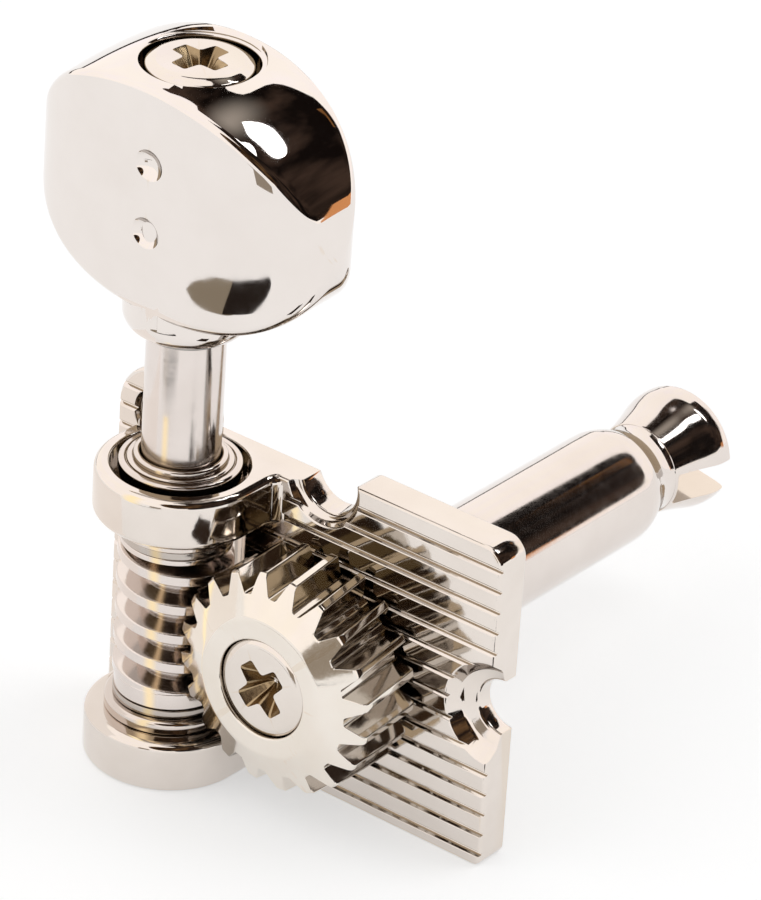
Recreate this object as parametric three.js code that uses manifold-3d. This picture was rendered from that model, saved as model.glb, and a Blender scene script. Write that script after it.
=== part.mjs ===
// Open-geared string tuning machine with a worm, a worm wheel, an oval knob and a slotted post.
// Millimetres. X runs along the plate, Y leaves its back along the post, Z runs up the worm.
// Each piece is drawn from the post axis and the plate's back; the last group moves the origin
// to the mounting point on the plate's back face.
import * as THREE from "three";
import { mergeVertices } from "three/addons/utils/BufferGeometryUtils.js";
import Module from "manifold-3d";

const wasm = await Module();
wasm.setup();

// Facets round a full circle
const ROUND_FACETS = 40;
const SMALL_FACETS = 28;
const TAU = 2 * Math.PI;

// Clearances
const RUNNING_GAP = 0.05;
const FACE_GAP = 0.04;
const SEAT_GAP = 0.03;
const OVERRUN = 1;

// Gearing: one left-hand thread drives the wheel
const GEAR_TEETH = 20;
const GEAR_OUTER_RADIUS = 6.0;
const GEAR_PITCH_SHARE = 0.89127;
const GEAR_PITCH_RADIUS = GEAR_OUTER_RADIUS * GEAR_PITCH_SHARE;
const WORM_PITCH = (TAU * GEAR_PITCH_RADIUS) / GEAR_TEETH;
const WORM_PITCH_RADIUS = 2.7;
const WORM_ADDENDUM_SHARE = 0.1488;
const WORM_OUTER_RADIUS = WORM_PITCH_RADIUS + WORM_PITCH * WORM_ADDENDUM_SHARE;
const THREAD_INTO_COLLAR = 0.2;
const AXIS_DISTANCE = GEAR_PITCH_RADIUS + WORM_PITCH_RADIUS;
const PRESSURE_ANGLE = (18 * Math.PI) / 180;
const TOOTH_BACKLASH = 0.085;
const THREAD_SHARE = 0.46;
const MESH_START_SHARE = 0.367;
const ROOT_CLEARANCE = 0.2;

// Base plate
const PLATE_THICKNESS = 2.06;
const PLATE_LEFT_OF_WORM = 6.05;
const PLATE_LEFT = -AXIS_DISTANCE - PLATE_LEFT_OF_WORM;
const PLATE_RIGHT = 10.35;
const PLATE_TOP = 9.85;
const PLATE_BOTTOM = -8.2;
const PLATE_CORNER_CUT = 0.65;
const PLATE_CORNER_RADIUS = 0.5;
const PLATE_LOWER_ROUND = 0.5;
const LUG_RADIUS = 2.65;
const LUG_CENTRE_Z = 8.83;
const LUG_HOLE_RADIUS = 1.3;
const LUG_SINK_RADIUS = 2.0;
const LUG_SINK_DEPTH = 0.8;
const TOP_NOTCH_X = -0.85;
const TOP_NOTCH_Z = 9.2;
const TOP_NOTCH_RADIUS = 1.75;
const TOP_SINK_RADIUS = 2.3;
const SIDE_NOTCH_Z = 0.64;
const SIDE_NOTCH_RADIUS = 1.5;
const SIDE_SINK_RADIUS = 2.83;
const SINK_DEPTH = 1.0;
const GROOVE_COUNT = 15;
const GROOVE_PITCH = 1.157;
const GROOVE_FIRST_Z = 8.75;
const GROOVE_WIDTH = 0.36;
const GROOVE_DEPTH = 0.22;
const TROUGH_RADIUS = 3.45;
const MOUNT_X = 6.0;

// Ears of the base plate
const EAR_RADIUS = 4.3;
const EAR_THICKNESS = 2.8;
const EAR_TOP = 8.6;
const EAR_ROUNDING = 0.45;
const EAR_FILLET = 0.6;
const EAR_FILLET_SINK = 0.02;
const EAR_FACETS = 28;
const EAR_FILLET_STEPS = 6;
const EAR_ROUND_STEPS = 4;

// Upper worm bush, seated in the upper ear
const BUSH_RADIUS = 3.05;
const BUSH_FLANGE_RADIUS = 3.12;
const BUSH_SINK_RADIUS = 3.5;
const BUSH_SINK_DEPTH = 1.0;
const BUSH_BELOW_EAR = 0.8;
const BUSH_ABOVE_EAR = 0.35;
const BUSH_CHAMFER = 0.28;
const BUSH_COLLAR_RADIUS = 2.38;
const BUSH_COLLAR_HEIGHT = 0.3;

// Thrust washers and lower worm bush
const THRUST_WASHER_RADIUS = 2.9;
const THRUST_WASHER_THICKNESS = 0.4;
const LOWER_FLANGE_RADIUS = 3.3;
const LOWER_FLANGE_THICKNESS = 0.7;
const LOWER_SLEEVE_RADIUS = 2.6;
const LOWER_SLEEVE_SHORT = 0.25;

// Worm shaft
const STEM_RADIUS = 2.0;
const STEM_TOP = 16.0;
const JOURNAL_RADIUS = 1.75;
const JOURNAL_SHORT = 0.3;
const WORM_LOWER_COLLAR = 0.95;
const WORM_UPPER_COLLAR = 0.35;
const WORM_COLLAR_RADIUS = 2.85;
const WORM_FACETS = 28;
const SHANK_RADIUS = 1.9;
const SHANK_FLATS = 2.9;
const SHANK_SHORT = 0.36;
const SHAFT_THREAD_DEPTH = 6.0;

// Knob, with its wide direction along X
const KNOB_ABOVE_STEM = 7.36;
const KNOB_CENTRE_Z = STEM_TOP + KNOB_ABOVE_STEM;
const KNOB_HALF_WIDTH = 8.92;
const KNOB_HALF_DEPTH = 3.8;
const KNOB_RISE = 7.7;
const KNOB_DROP = 5.34;
const KNOB_CROWN = 0.4;
const KNOB_PLAN_POWER = 2.4;
const KNOB_TOP_POWER = 2.0;
const KNOB_BOTTOM_POWER = 2.27;
const KNOB_TOP_ROUND = 0.4;
const KNOB_BOTTOM_ROUND = 0.7;
const KNOB_SETBACK = 0.25;
const KNOB_LEAN_DEGREES = 3.15;
const KNOB_STATIONS = 30;
const KNOB_SIDE_STEPS = 4;
const KNOB_CORNER_STEPS = 4;
const BOSS_RADIUS = 3.25;
const BOSS_FOOT_RADIUS = 2.5;
const BOSS_ROUND_HEIGHT = 1.0;
const BOSS_ROUND_STEPS = 4;
const SEAT_WASHER_RADIUS = 2.3;
const SEAT_WASHER_THICKNESS = 0.25;
const KNOB_RECESS_RADIUS = 2.95;
const KNOB_RECESS_DEPTH = 2.1;
const DIMPLE_RADIUS = 0.8;
const DIMPLE_DEPTH = 0.3;
const DIMPLE_SPACING = 3.8;
const DIMPLE_ABOVE_CENTRE = 1.29;

// Knob screw and its spring washer
const KNOB_HEAD_RADIUS = 2.72;
const KNOB_HEAD_THICKNESS = 1.4;
const KNOB_HEAD_EDGE = 0.4;
const KNOB_SCREW_RADIUS = 1.25;
const KNOB_SCREW_LENGTH = 6.0;
const SPRING_WASHER_THICKNESS = 0.36;
const SPRING_WASHER_RADIUS = 2.4;
const SPRING_WASHER_SPLIT = 0.4;

// Cross recess shared by both screws
const CROSS_LENGTH = 3.0;
const CROSS_WIDTH = 0.7;
const CROSS_DEPTH = 1.0;
const CROSS_FOOT_SHARE = 0.45;
const CROSS_TURN = (43 * Math.PI) / 180;

// Gear
const GEAR_WIDTH = 3.81;
const GEAR_NOSE = 0.93;
const GEAR_HUB_RADIUS = 3.7;
const GEAR_SQUARE = 3.4;
const GEAR_RECESS_DEPTH = 1.5;
const GEAR_TWIST_STEPS = 4;
const GEAR_WASHER_THICKNESS = 0.3;
const GEAR_WASHER_RADIUS = 3.9;

// Gear screw
const GEAR_HEAD_RADIUS = 2.6;
const GEAR_HEAD_THICKNESS = 1.1;
const GEAR_SCREW_RADIUS = 1.1;
const GEAR_SCREW_LENGTH = 5.0;
const GEAR_SPRING_RADIUS = 2.2;
const GEAR_SPRING_THICKNESS = 0.3;

// String post
const POST_RADIUS = 3.175;
const POST_BODY_LENGTH = 21.3;
const POST_JOURNAL_RADIUS = 2.7;
const POST_SINK_GAP = 0.12;
const POST_SINK_DEPTH = 0.5;
const POST_NECK_RADIUS = 2.46;
const POST_NECK_SHARES = [[0.33, 0.23], [0.67, 0.66], [1, 1]];
const POST_NECK_START = 23.15;
const POST_NECK_END = 23.95;
const POST_HEAD_START = 27.0;
const POST_HEAD_RADIUS = 3.32;
const POST_LENGTH = 27.92;
const POST_END_ROUNDING = 0.36;
const POST_END_DOME = 0.1;
const POST_ROUND_STEPS = 3;
const POST_SLOT_WIDTH = 1.9;
const POST_SLOT_DEPTH = 3.8;
const POST_SLOT_ANGLE = (-10 * Math.PI) / 180;
const POST_SHANK_SHORT = 0.25;

// Places worked out from the sizes above
const PLATE_FRONT_Y = -PLATE_THICKNESS;
const GEAR_BACK_Y = PLATE_FRONT_Y - GEAR_WASHER_THICKNESS - 2 * FACE_GAP;
const GEAR_RIM_Y = GEAR_BACK_Y - GEAR_WIDTH;
const GEAR_FACE_Y = GEAR_RIM_Y - GEAR_NOSE;
const WORM_X = -AXIS_DISTANCE;
const WORM_Y = (GEAR_BACK_Y + GEAR_RIM_Y) / 2;
const UPPER_EAR_BOTTOM = EAR_TOP - EAR_THICKNESS;
const LOWER_EAR_TOP = PLATE_BOTTOM + EAR_THICKNESS;
const UPPER_BUSH_BOTTOM = UPPER_EAR_BOTTOM - BUSH_BELOW_EAR;
const UPPER_BUSH_TOP = EAR_TOP + BUSH_ABOVE_EAR;
const UPPER_WASHER_BOTTOM = UPPER_BUSH_BOTTOM - FACE_GAP - THRUST_WASHER_THICKNESS;
const WORM_TOP = UPPER_WASHER_BOTTOM - FACE_GAP;
const LOWER_BUSH_BOTTOM = LOWER_EAR_TOP + SEAT_GAP;
const LOWER_BUSH_TOP = LOWER_BUSH_BOTTOM + LOWER_FLANGE_THICKNESS;
const LOWER_WASHER_BOTTOM = LOWER_BUSH_TOP + FACE_GAP;
const WORM_BOTTOM = LOWER_WASHER_BOTTOM + THRUST_WASHER_THICKNESS + FACE_GAP;
const LUG_X = PLATE_LEFT + LUG_RADIUS;
const SPACE_SHARE = 1 - THREAD_SHARE;
const WORM_ROOT_RADIUS = AXIS_DISTANCE - GEAR_OUTER_RADIUS - ROOT_CLEARANCE;
const GEAR_ROOT_RADIUS = AXIS_DISTANCE - WORM_OUTER_RADIUS - ROOT_CLEARANCE;
const KNOB_TOP = KNOB_CENTRE_Z + KNOB_RISE;
const KNOB_SEAT_Z = KNOB_TOP - KNOB_RECESS_DEPTH;
const SHANK_TOP = KNOB_SEAT_Z - SHANK_SHORT;
const SEAT_WASHER_BOTTOM = STEM_TOP + SEAT_GAP;
const BOSS_BOTTOM = SEAT_WASHER_BOTTOM + SEAT_WASHER_THICKNESS + SEAT_GAP;
const KNOB_SPRING_BOTTOM = KNOB_SEAT_Z + SEAT_GAP;
const KNOB_HEAD_BOTTOM = KNOB_SPRING_BOTTOM + SPRING_WASHER_THICKNESS + SEAT_GAP;
const GEAR_SEAT_Y = GEAR_FACE_Y + GEAR_RECESS_DEPTH;
const GEAR_HEAD_BACK_Y = GEAR_FACE_Y + GEAR_HEAD_THICKNESS;

// Turn a closed geometry into a solid, with its shared corners merged
function solid(geometry) {
  const bare = geometry.clone();
  bare.deleteAttribute("normal");
  bare.deleteAttribute("uv");
  const merged = mergeVertices(bare);
  const mesh = new wasm.Mesh({
    numProp: 3,
    vertProperties: new Float32Array(merged.attributes.position.array),
    triVerts: new Uint32Array(merged.index.array),
  });
  mesh.merge();
  return new wasm.Manifold(mesh);
}

function geometryOf(body) {
  const mesh = body.getMesh();
  const geometry = new THREE.BufferGeometry();
  geometry.setAttribute("position", new THREE.BufferAttribute(new Float32Array(mesh.vertProperties), 3));
  geometry.setIndex(new THREE.BufferAttribute(new Uint32Array(mesh.triVerts), 1));
  geometry.computeVertexNormals();
  return geometry;
}

// A turned solid about Z: the profile holds [radius, z] pairs from the axis, upwards, to the axis
function turnedZ(profile, facets = ROUND_FACETS) {
  const points = profile.map(([radius, z]) => new THREE.Vector2(radius, z));
  const geometry = new THREE.LatheGeometry(points, facets);
  geometry.rotateX(Math.PI / 2);
  return solid(geometry);
}

// A turned solid about Y: the profile holds [radius, y] pairs
function turnedY(profile, facets = ROUND_FACETS) {
  const points = profile.map(([radius, y]) => new THREE.Vector2(radius, y));
  return solid(new THREE.LatheGeometry(points, facets));
}

function rodZ(radius, low, high, facets = ROUND_FACETS) {
  return turnedZ([[0, low], [radius, low], [radius, high], [0, high]], facets);
}

function rodY(radius, low, high, facets = ROUND_FACETS) {
  return turnedY([[0, low], [radius, low], [radius, high], [0, high]], facets);
}

function box(lowX, highX, lowY, highY, lowZ, highZ) {
  const geometry = new THREE.BoxGeometry(highX - lowX, highY - lowY, highZ - lowZ);
  geometry.translate((lowX + highX) / 2, (lowY + highY) / 2, (lowZ + highZ) / 2);
  return solid(geometry);
}

// An outline drawn in X and Z, extruded from lowY to highY
function slabY(shape, lowY, highY) {
  const geometry = new THREE.ExtrudeGeometry(shape, {
    depth: highY - lowY,
    bevelEnabled: false,
    curveSegments: ROUND_FACETS / 2,
  });
  geometry.rotateX(Math.PI / 2);
  geometry.translate(0, highY, 0);
  return solid(geometry);
}

function polygon(points) {
  return new THREE.Shape(points.map(([u, v]) => new THREE.Vector2(u, v)));
}

function material(color, roughness) {
  return new THREE.MeshStandardMaterial({ color, roughness, metalness: 1 });
}

const NICKEL = "#d9d1cb";
const BRIGHT_NICKEL = "#e4dcd6";
const SPRING_STEEL = "#b9b6b2";
const WASHER_STEEL = "#cbc3bc";

const tuner = new THREE.Group();

function addPiece(name, body, color, roughness, place = [0, 0, 0]) {
  const mesh = new THREE.Mesh(geometryOf(body), material(color, roughness));
  mesh.name = name;
  mesh.position.set(...place);
  tuner.add(mesh);
}

// Base plate: outline of the flat, its two ears and everything cut from them
function plateOutline() {
  const lugRight = LUG_X + LUG_RADIUS;
  const notchLeft = TOP_NOTCH_X - TOP_NOTCH_RADIUS;
  const notchRight = TOP_NOTCH_X + TOP_NOTCH_RADIUS;
  const shape = new THREE.Shape();
  shape.moveTo(PLATE_LEFT, PLATE_BOTTOM);
  shape.lineTo(PLATE_RIGHT - PLATE_LOWER_ROUND, PLATE_BOTTOM);
  shape.absarc(
    PLATE_RIGHT - PLATE_LOWER_ROUND, PLATE_BOTTOM + PLATE_LOWER_ROUND,
    PLATE_LOWER_ROUND, -Math.PI / 2, 0, false,
  );
  shape.lineTo(PLATE_RIGHT, SIDE_NOTCH_Z - SIDE_NOTCH_RADIUS);
  shape.absarc(PLATE_RIGHT, SIDE_NOTCH_Z, SIDE_NOTCH_RADIUS, -Math.PI / 2, Math.PI / 2, true);
  shape.lineTo(PLATE_RIGHT, PLATE_TOP - PLATE_CORNER_CUT);
  shape.lineTo(PLATE_RIGHT - PLATE_CORNER_CUT, PLATE_TOP);
  shape.lineTo(notchRight + PLATE_CORNER_RADIUS, PLATE_TOP);
  shape.absarc(
    notchRight + PLATE_CORNER_RADIUS, PLATE_TOP - PLATE_CORNER_RADIUS,
    PLATE_CORNER_RADIUS, Math.PI / 2, Math.PI, false,
  );
  shape.lineTo(notchRight, TOP_NOTCH_Z);
  shape.absarc(TOP_NOTCH_X, TOP_NOTCH_Z, TOP_NOTCH_RADIUS, 0, -Math.PI + Math.asin(
    (TOP_NOTCH_Z - EAR_TOP) / TOP_NOTCH_RADIUS,
  ), true);
  shape.lineTo(notchLeft - PLATE_CORNER_RADIUS, EAR_TOP);
  shape.lineTo(lugRight, EAR_TOP);
  shape.lineTo(lugRight, LUG_CENTRE_Z);
  shape.absarc(LUG_X, LUG_CENTRE_Z, LUG_RADIUS, 0, Math.PI, false);
  shape.closePath();
  return shape;
}

// An ear's outline about the worm axis, drawn in by an inset, as [x, y] pairs
function earOutline(inset) {
  const radius = EAR_RADIUS - inset;
  const fillet = EAR_FILLET + inset;
  const flareX = EAR_RADIUS + EAR_FILLET;
  const flareY = PLATE_FRONT_Y - EAR_FILLET + EAR_FILLET_SINK - WORM_Y;
  const flare = [[flareX, PLATE_THICKNESS + OVERRUN - WORM_Y + PLATE_FRONT_Y]];
  for (let step = 0; step <= EAR_FILLET_STEPS; step += 1) {
    const angle = (Math.PI / 2) * (1 + step / EAR_FILLET_STEPS);
    flare.push([flareX + fillet * Math.cos(angle), flareY + fillet * Math.sin(angle)]);
  }
  const nose = [];
  for (let step = 0; step <= EAR_FACETS; step += 1) {
    const angle = Math.PI * (1 + step / EAR_FACETS);
    nose.push([radius * Math.cos(angle), radius * Math.sin(angle)]);
  }
  const right = [...flare].reverse();
  const left = flare.map(([x, y]) => [-x, y]);
  return [...left, ...nose, ...right];
}

// An ear with rounded ends: its outline at every height, joined into one skin
function ear(low, high) {
  const levels = [];
  for (let step = 0; step <= EAR_ROUND_STEPS; step += 1) {
    const angle = (step / EAR_ROUND_STEPS) * (Math.PI / 2);
    levels.push([EAR_ROUNDING * (1 - Math.cos(angle)), EAR_ROUNDING * (1 - Math.sin(angle))]);
  }
  const sections = [
    ...levels.map(([rise, inset]) => [low + rise, inset]),
    ...levels.map(([rise, inset]) => [high - rise, inset]).reverse(),
  ];
  const positions = [];
  for (const [z, inset] of sections) {
    for (const [x, y] of earOutline(inset)) {
      positions.push(WORM_X + x, WORM_Y + y, z);
    }
  }
  const count = positions.length / 3 / sections.length;
  const index = [];
  for (let level = 0; level + 1 < sections.length; level += 1) {
    for (let point = 0; point < count; point += 1) {
      const here = level * count + point;
      const beside = level * count + ((point + 1) % count);
      index.push(here, beside, beside + count, here, beside + count, here + count);
    }
  }
  const last = (sections.length - 1) * count;
  const lowest = earOutline(EAR_ROUNDING).map(([x, y]) => new THREE.Vector2(x, y));
  for (const [a, b, c] of THREE.ShapeUtils.triangulateShape(lowest, [])) {
    index.push(c, b, a, last + a, last + b, last + c);
  }
  const geometry = new THREE.BufferGeometry();
  geometry.setAttribute("position", new THREE.Float32BufferAttribute(positions, 3));
  geometry.setIndex(index);
  return solid(geometry);
}

// A cone that widens to the plate's front face and ends just past it, clear of the ears
function countersink(x, z, holeRadius, sinkRadius, depth) {
  const slope = (sinkRadius - holeRadius) / depth;
  const profile = [
    [0, PLATE_FRONT_Y - RUNNING_GAP],
    [sinkRadius + slope * RUNNING_GAP, PLATE_FRONT_Y - RUNNING_GAP],
    [holeRadius, PLATE_FRONT_Y + depth],
    [0, PLATE_FRONT_Y + depth],
  ];
  return turnedY(profile, SMALL_FACETS).translate([x, 0, z]);
}

function groove(z, right) {
  const half = GROOVE_WIDTH / 2;
  const spread = (half * (GROOVE_DEPTH + OVERRUN)) / GROOVE_DEPTH;
  const shape = polygon([
    [PLATE_FRONT_Y + GROOVE_DEPTH, z],
    [PLATE_FRONT_Y - OVERRUN, z + spread],
    [PLATE_FRONT_Y - OVERRUN, z - spread],
  ]);
  const length = right - PLATE_LEFT + 2 * OVERRUN;
  const geometry = new THREE.ExtrudeGeometry(shape, { depth: length, bevelEnabled: false });
  geometry.rotateY(Math.PI / 2);
  geometry.rotateX(Math.PI / 2);
  geometry.translate(PLATE_LEFT - OVERRUN, 0, 0);
  return solid(geometry);
}

function basePlate() {
  let plate = slabY(plateOutline(), PLATE_FRONT_Y, 0)
    .subtract(groove(GROOVE_FIRST_Z + GROOVE_PITCH, LUG_X + LUG_RADIUS));
  for (let index = 0; index < GROOVE_COUNT; index += 1) {
    plate = plate.subtract(groove(GROOVE_FIRST_Z - index * GROOVE_PITCH, PLATE_RIGHT));
  }
  const trough = rodZ(TROUGH_RADIUS, LOWER_EAR_TOP, UPPER_EAR_BOTTOM)
    .translate([WORM_X, WORM_Y, 0]);
  const upperBore = rodZ(BUSH_RADIUS + SEAT_GAP, UPPER_EAR_BOTTOM - OVERRUN, EAR_TOP + OVERRUN)
    .add(rodZ(BUSH_SINK_RADIUS, EAR_TOP - BUSH_SINK_DEPTH, EAR_TOP + OVERRUN))
    .translate([WORM_X, WORM_Y, 0]);
  const lowerBore = rodZ(LOWER_SLEEVE_RADIUS + SEAT_GAP, PLATE_BOTTOM - OVERRUN, LOWER_EAR_TOP + OVERRUN)
    .translate([WORM_X, WORM_Y, 0]);
  const behind = box(
    PLATE_LEFT - OVERRUN, PLATE_RIGHT + OVERRUN, 0, 2 * OVERRUN,
    PLATE_BOTTOM - OVERRUN, PLATE_TOP + OVERRUN,
  );
  return plate
    .add(ear(UPPER_EAR_BOTTOM, EAR_TOP))
    .add(ear(PLATE_BOTTOM, LOWER_EAR_TOP))
    .subtract(behind)
    .subtract(trough)
    .subtract(upperBore)
    .subtract(lowerBore)
    .subtract(rodY(POST_JOURNAL_RADIUS + RUNNING_GAP, PLATE_FRONT_Y - OVERRUN, OVERRUN))
    .subtract(rodY(POST_RADIUS + POST_SINK_GAP, -POST_SINK_DEPTH, OVERRUN))
    .subtract(rodY(LUG_HOLE_RADIUS, PLATE_FRONT_Y - OVERRUN, OVERRUN, SMALL_FACETS)
      .translate([LUG_X, 0, LUG_CENTRE_Z]))
    .subtract(countersink(LUG_X, LUG_CENTRE_Z, LUG_HOLE_RADIUS, LUG_SINK_RADIUS, LUG_SINK_DEPTH))
    .subtract(countersink(TOP_NOTCH_X, TOP_NOTCH_Z, TOP_NOTCH_RADIUS, TOP_SINK_RADIUS, SINK_DEPTH / 2))
    .subtract(countersink(PLATE_RIGHT, SIDE_NOTCH_Z, SIDE_NOTCH_RADIUS, SIDE_SINK_RADIUS, SINK_DEPTH));
}

// Upper worm bush: fills the upper ear's bore and carries the stem
function upperBush() {
  const bore = STEM_RADIUS + RUNNING_GAP;
  const flangeBottom = EAR_TOP - BUSH_SINK_DEPTH + SEAT_GAP;
  const shoulder = UPPER_BUSH_TOP - BUSH_CHAMFER;
  const collarTop = UPPER_BUSH_TOP + BUSH_COLLAR_HEIGHT;
  return turnedZ([
    [0, UPPER_BUSH_BOTTOM],
    [BUSH_RADIUS, UPPER_BUSH_BOTTOM],
    [BUSH_RADIUS, flangeBottom],
    [BUSH_FLANGE_RADIUS, flangeBottom],
    [BUSH_FLANGE_RADIUS, shoulder],
    [BUSH_FLANGE_RADIUS - BUSH_CHAMFER, UPPER_BUSH_TOP],
    [BUSH_COLLAR_RADIUS, UPPER_BUSH_TOP],
    [BUSH_COLLAR_RADIUS, collarTop - BUSH_COLLAR_HEIGHT / 3],
    [BUSH_COLLAR_RADIUS - BUSH_COLLAR_HEIGHT / 3, collarTop],
    [0, collarTop],
  ]).subtract(rodZ(bore, UPPER_BUSH_BOTTOM - OVERRUN, collarTop + OVERRUN));
}

function lowerBush() {
  const sleeveBottom = PLATE_BOTTOM + LOWER_SLEEVE_SHORT;
  return turnedZ([
    [0, sleeveBottom],
    [LOWER_SLEEVE_RADIUS, sleeveBottom],
    [LOWER_SLEEVE_RADIUS, LOWER_BUSH_BOTTOM],
    [LOWER_FLANGE_RADIUS, LOWER_BUSH_BOTTOM],
    [LOWER_FLANGE_RADIUS, LOWER_BUSH_TOP],
    [0, LOWER_BUSH_TOP],
  ]).subtract(rodZ(JOURNAL_RADIUS + RUNNING_GAP, sleeveBottom - OVERRUN, LOWER_BUSH_TOP + OVERRUN));
}

function washerZ(outer, inner, low, thickness) {
  const high = low + thickness;
  return rodZ(outer, low, high).subtract(rodZ(inner, low - OVERRUN, high + OVERRUN));
}

// The worm's thread: a bar of trapezoid section bent round the shaft as a left-hand helix
function wormThread(low, high) {
  const turns = (high - low) / WORM_PITCH;
  const steps = Math.round(turns * WORM_FACETS);
  const sunkRadius = WORM_ROOT_RADIUS * Math.cos(Math.PI / WORM_FACETS) - ROOT_CLEARANCE;
  const geometry = new THREE.BoxGeometry(1, 1, 1, steps, 1, 1);
  const corner = geometry.attributes.position;
  for (let index = 0; index < corner.count; index += 1) {
    const along = corner.getX(index) + 0.5;
    const radius = corner.getY(index) > 0 ? WORM_OUTER_RADIUS : sunkRadius;
    const depth = radius - WORM_PITCH_RADIUS;
    const width = WORM_PITCH * THREAD_SHARE - TOOTH_BACKLASH - 2 * depth * Math.tan(PRESSURE_ANGLE);
    const angle = -along * turns * TAU;
    const z = low + along * (high - low) + corner.getZ(index) * width;
    corner.setXYZ(index, radius * Math.cos(angle), radius * Math.sin(angle), z);
  }
  return solid(geometry);
}

function shaftShank(low, high) {
  const flat = SHANK_FLATS / 2;
  const reach = SHANK_RADIUS + OVERRUN;
  return rodZ(SHANK_RADIUS, low, high).intersect(box(-reach, reach, -flat, flat, low - OVERRUN, high + OVERRUN));
}

// Worm shaft: lower journal, worm between two collars, stem and flatted shank for the knob
function wormShaft() {
  const journalBottom = PLATE_BOTTOM + LOWER_SLEEVE_SHORT + JOURNAL_SHORT;
  const lowerCollarTop = WORM_BOTTOM + WORM_LOWER_COLLAR;
  const upperCollarBottom = WORM_TOP - WORM_UPPER_COLLAR;
  const core = turnedZ([
    [0, journalBottom],
    [JOURNAL_RADIUS, journalBottom],
    [JOURNAL_RADIUS, WORM_BOTTOM],
    [WORM_COLLAR_RADIUS, WORM_BOTTOM],
    [WORM_COLLAR_RADIUS, lowerCollarTop],
    [WORM_ROOT_RADIUS, lowerCollarTop],
    [WORM_ROOT_RADIUS, upperCollarBottom],
    [WORM_COLLAR_RADIUS, upperCollarBottom],
    [WORM_COLLAR_RADIUS, WORM_TOP],
    [STEM_RADIUS, WORM_TOP],
    [STEM_RADIUS, STEM_TOP],
    [0, STEM_TOP],
  ], WORM_FACETS);
  const reach = WORM_OUTER_RADIUS + OVERRUN;
  const between = box(
    -reach, reach, -reach, reach,
    lowerCollarTop - THREAD_INTO_COLLAR, upperCollarBottom + THREAD_INTO_COLLAR,
  );
  // The thread runs whole pitches past both collars, from the height where a crest faces the gear
  const crestZ = (MESH_START_SHARE - 1 / 2) * WORM_PITCH;
  const pitchesDown = Math.ceil((crestZ - WORM_BOTTOM) / WORM_PITCH);
  const pitchesUp = Math.ceil((WORM_TOP - crestZ) / WORM_PITCH);
  const thread = wormThread(crestZ - pitchesDown * WORM_PITCH, crestZ + pitchesUp * WORM_PITCH)
    .intersect(between);
  return core
    .add(thread)
    .add(shaftShank(STEM_TOP - OVERRUN, SHANK_TOP))
    .subtract(rodZ(KNOB_SCREW_RADIUS + RUNNING_GAP, SHANK_TOP - SHAFT_THREAD_DEPTH, SHANK_TOP + OVERRUN, SMALL_FACETS));
}

// Half size of a rounded outline at a share of its half width
function outlineHalf(share, halfSize, power) {
  return halfSize * (1 - Math.min(1, Math.abs(share)) ** power) ** (1 / power);
}

// One rounded corner of a knob section, with the side that leads on to the next corner
function knobCorner(corner, next) {
  const points = [];
  for (let step = 0; step <= KNOB_CORNER_STEPS; step += 1) {
    const angle = corner.angle + (step / KNOB_CORNER_STEPS) * (Math.PI / 2);
    points.push([
      corner.y + corner.radius * Math.cos(angle),
      corner.z + corner.radius * Math.sin(angle),
    ]);
  }
  const [fromY, fromZ] = points[points.length - 1];
  const toY = next.y + next.radius * Math.cos(next.angle);
  const toZ = next.z + next.radius * Math.sin(next.angle);
  for (let step = 1; step < KNOB_SIDE_STEPS; step += 1) {
    const along = step / KNOB_SIDE_STEPS;
    points.push([fromY + (toY - fromY) * along, fromZ + (toZ - fromZ) * along]);
  }
  return points;
}

// One cross-section of the knob: a box with rounded corners and a crowned top, as [y, z] pairs
function knobSection(share) {
  const depth = outlineHalf(share, KNOB_HALF_DEPTH, KNOB_PLAN_POWER);
  const rise = outlineHalf(share, KNOB_RISE, KNOB_TOP_POWER);
  const drop = outlineHalf(share, KNOB_DROP, KNOB_BOTTOM_POWER);
  const topRadius = Math.min(KNOB_TOP_ROUND, depth, rise);
  const bottomRadius = Math.min(KNOB_BOTTOM_ROUND, depth, drop);
  const corners = [
    { y: depth - bottomRadius, z: bottomRadius - drop, radius: bottomRadius, angle: -Math.PI / 2 },
    { y: depth - topRadius, z: rise - topRadius, radius: topRadius, angle: 0 },
    { y: topRadius - depth, z: rise - topRadius, radius: topRadius, angle: Math.PI / 2 },
    { y: bottomRadius - depth, z: bottomRadius - drop, radius: bottomRadius, angle: Math.PI },
  ];
  const points = corners.flatMap((corner, place) => (
    knobCorner(corner, corners[(place + 1) % corners.length])
  ));
  return points.map(([y, z]) => {
    const depthShare = y / KNOB_HALF_DEPTH;
    const heightShare = Math.max(0, z / KNOB_RISE);
    return [y, z - KNOB_CROWN * depthShare * depthShare * heightShare];
  });
}

// The knob's grip: cross-sections joined from end to end
function knobGrip() {
  const positions = [];
  const index = [];
  const stations = [];
  for (let station = 1; station < KNOB_STATIONS; station += 1) {
    stations.push(-Math.cos((station / KNOB_STATIONS) * Math.PI));
  }
  for (const share of stations) {
    for (const [y, z] of knobSection(share)) {
      positions.push(share * KNOB_HALF_WIDTH, y, z);
    }
  }
  const count = positions.length / 3 / stations.length;
  const lowEnd = positions.length / 3;
  positions.push(-KNOB_HALF_WIDTH, 0, 0);
  const highEnd = lowEnd + 1;
  positions.push(KNOB_HALF_WIDTH, 0, 0);
  for (let ring = 0; ring < stations.length; ring += 1) {
    for (let point = 0; point < count; point += 1) {
      const here = ring * count + point;
      const beside = ring * count + ((point + 1) % count);
      if (ring === 0) {
        index.push(lowEnd, beside, here);
      }
      if (ring === stations.length - 1) {
        index.push(highEnd, here, beside);
      } else {
        index.push(here, beside, beside + count);
        index.push(here, beside + count, here + count);
      }
    }
  }
  const geometry = new THREE.BufferGeometry();
  geometry.setAttribute("position", new THREE.Float32BufferAttribute(positions, 3));
  geometry.setIndex(index);
  return solid(geometry);
}

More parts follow.
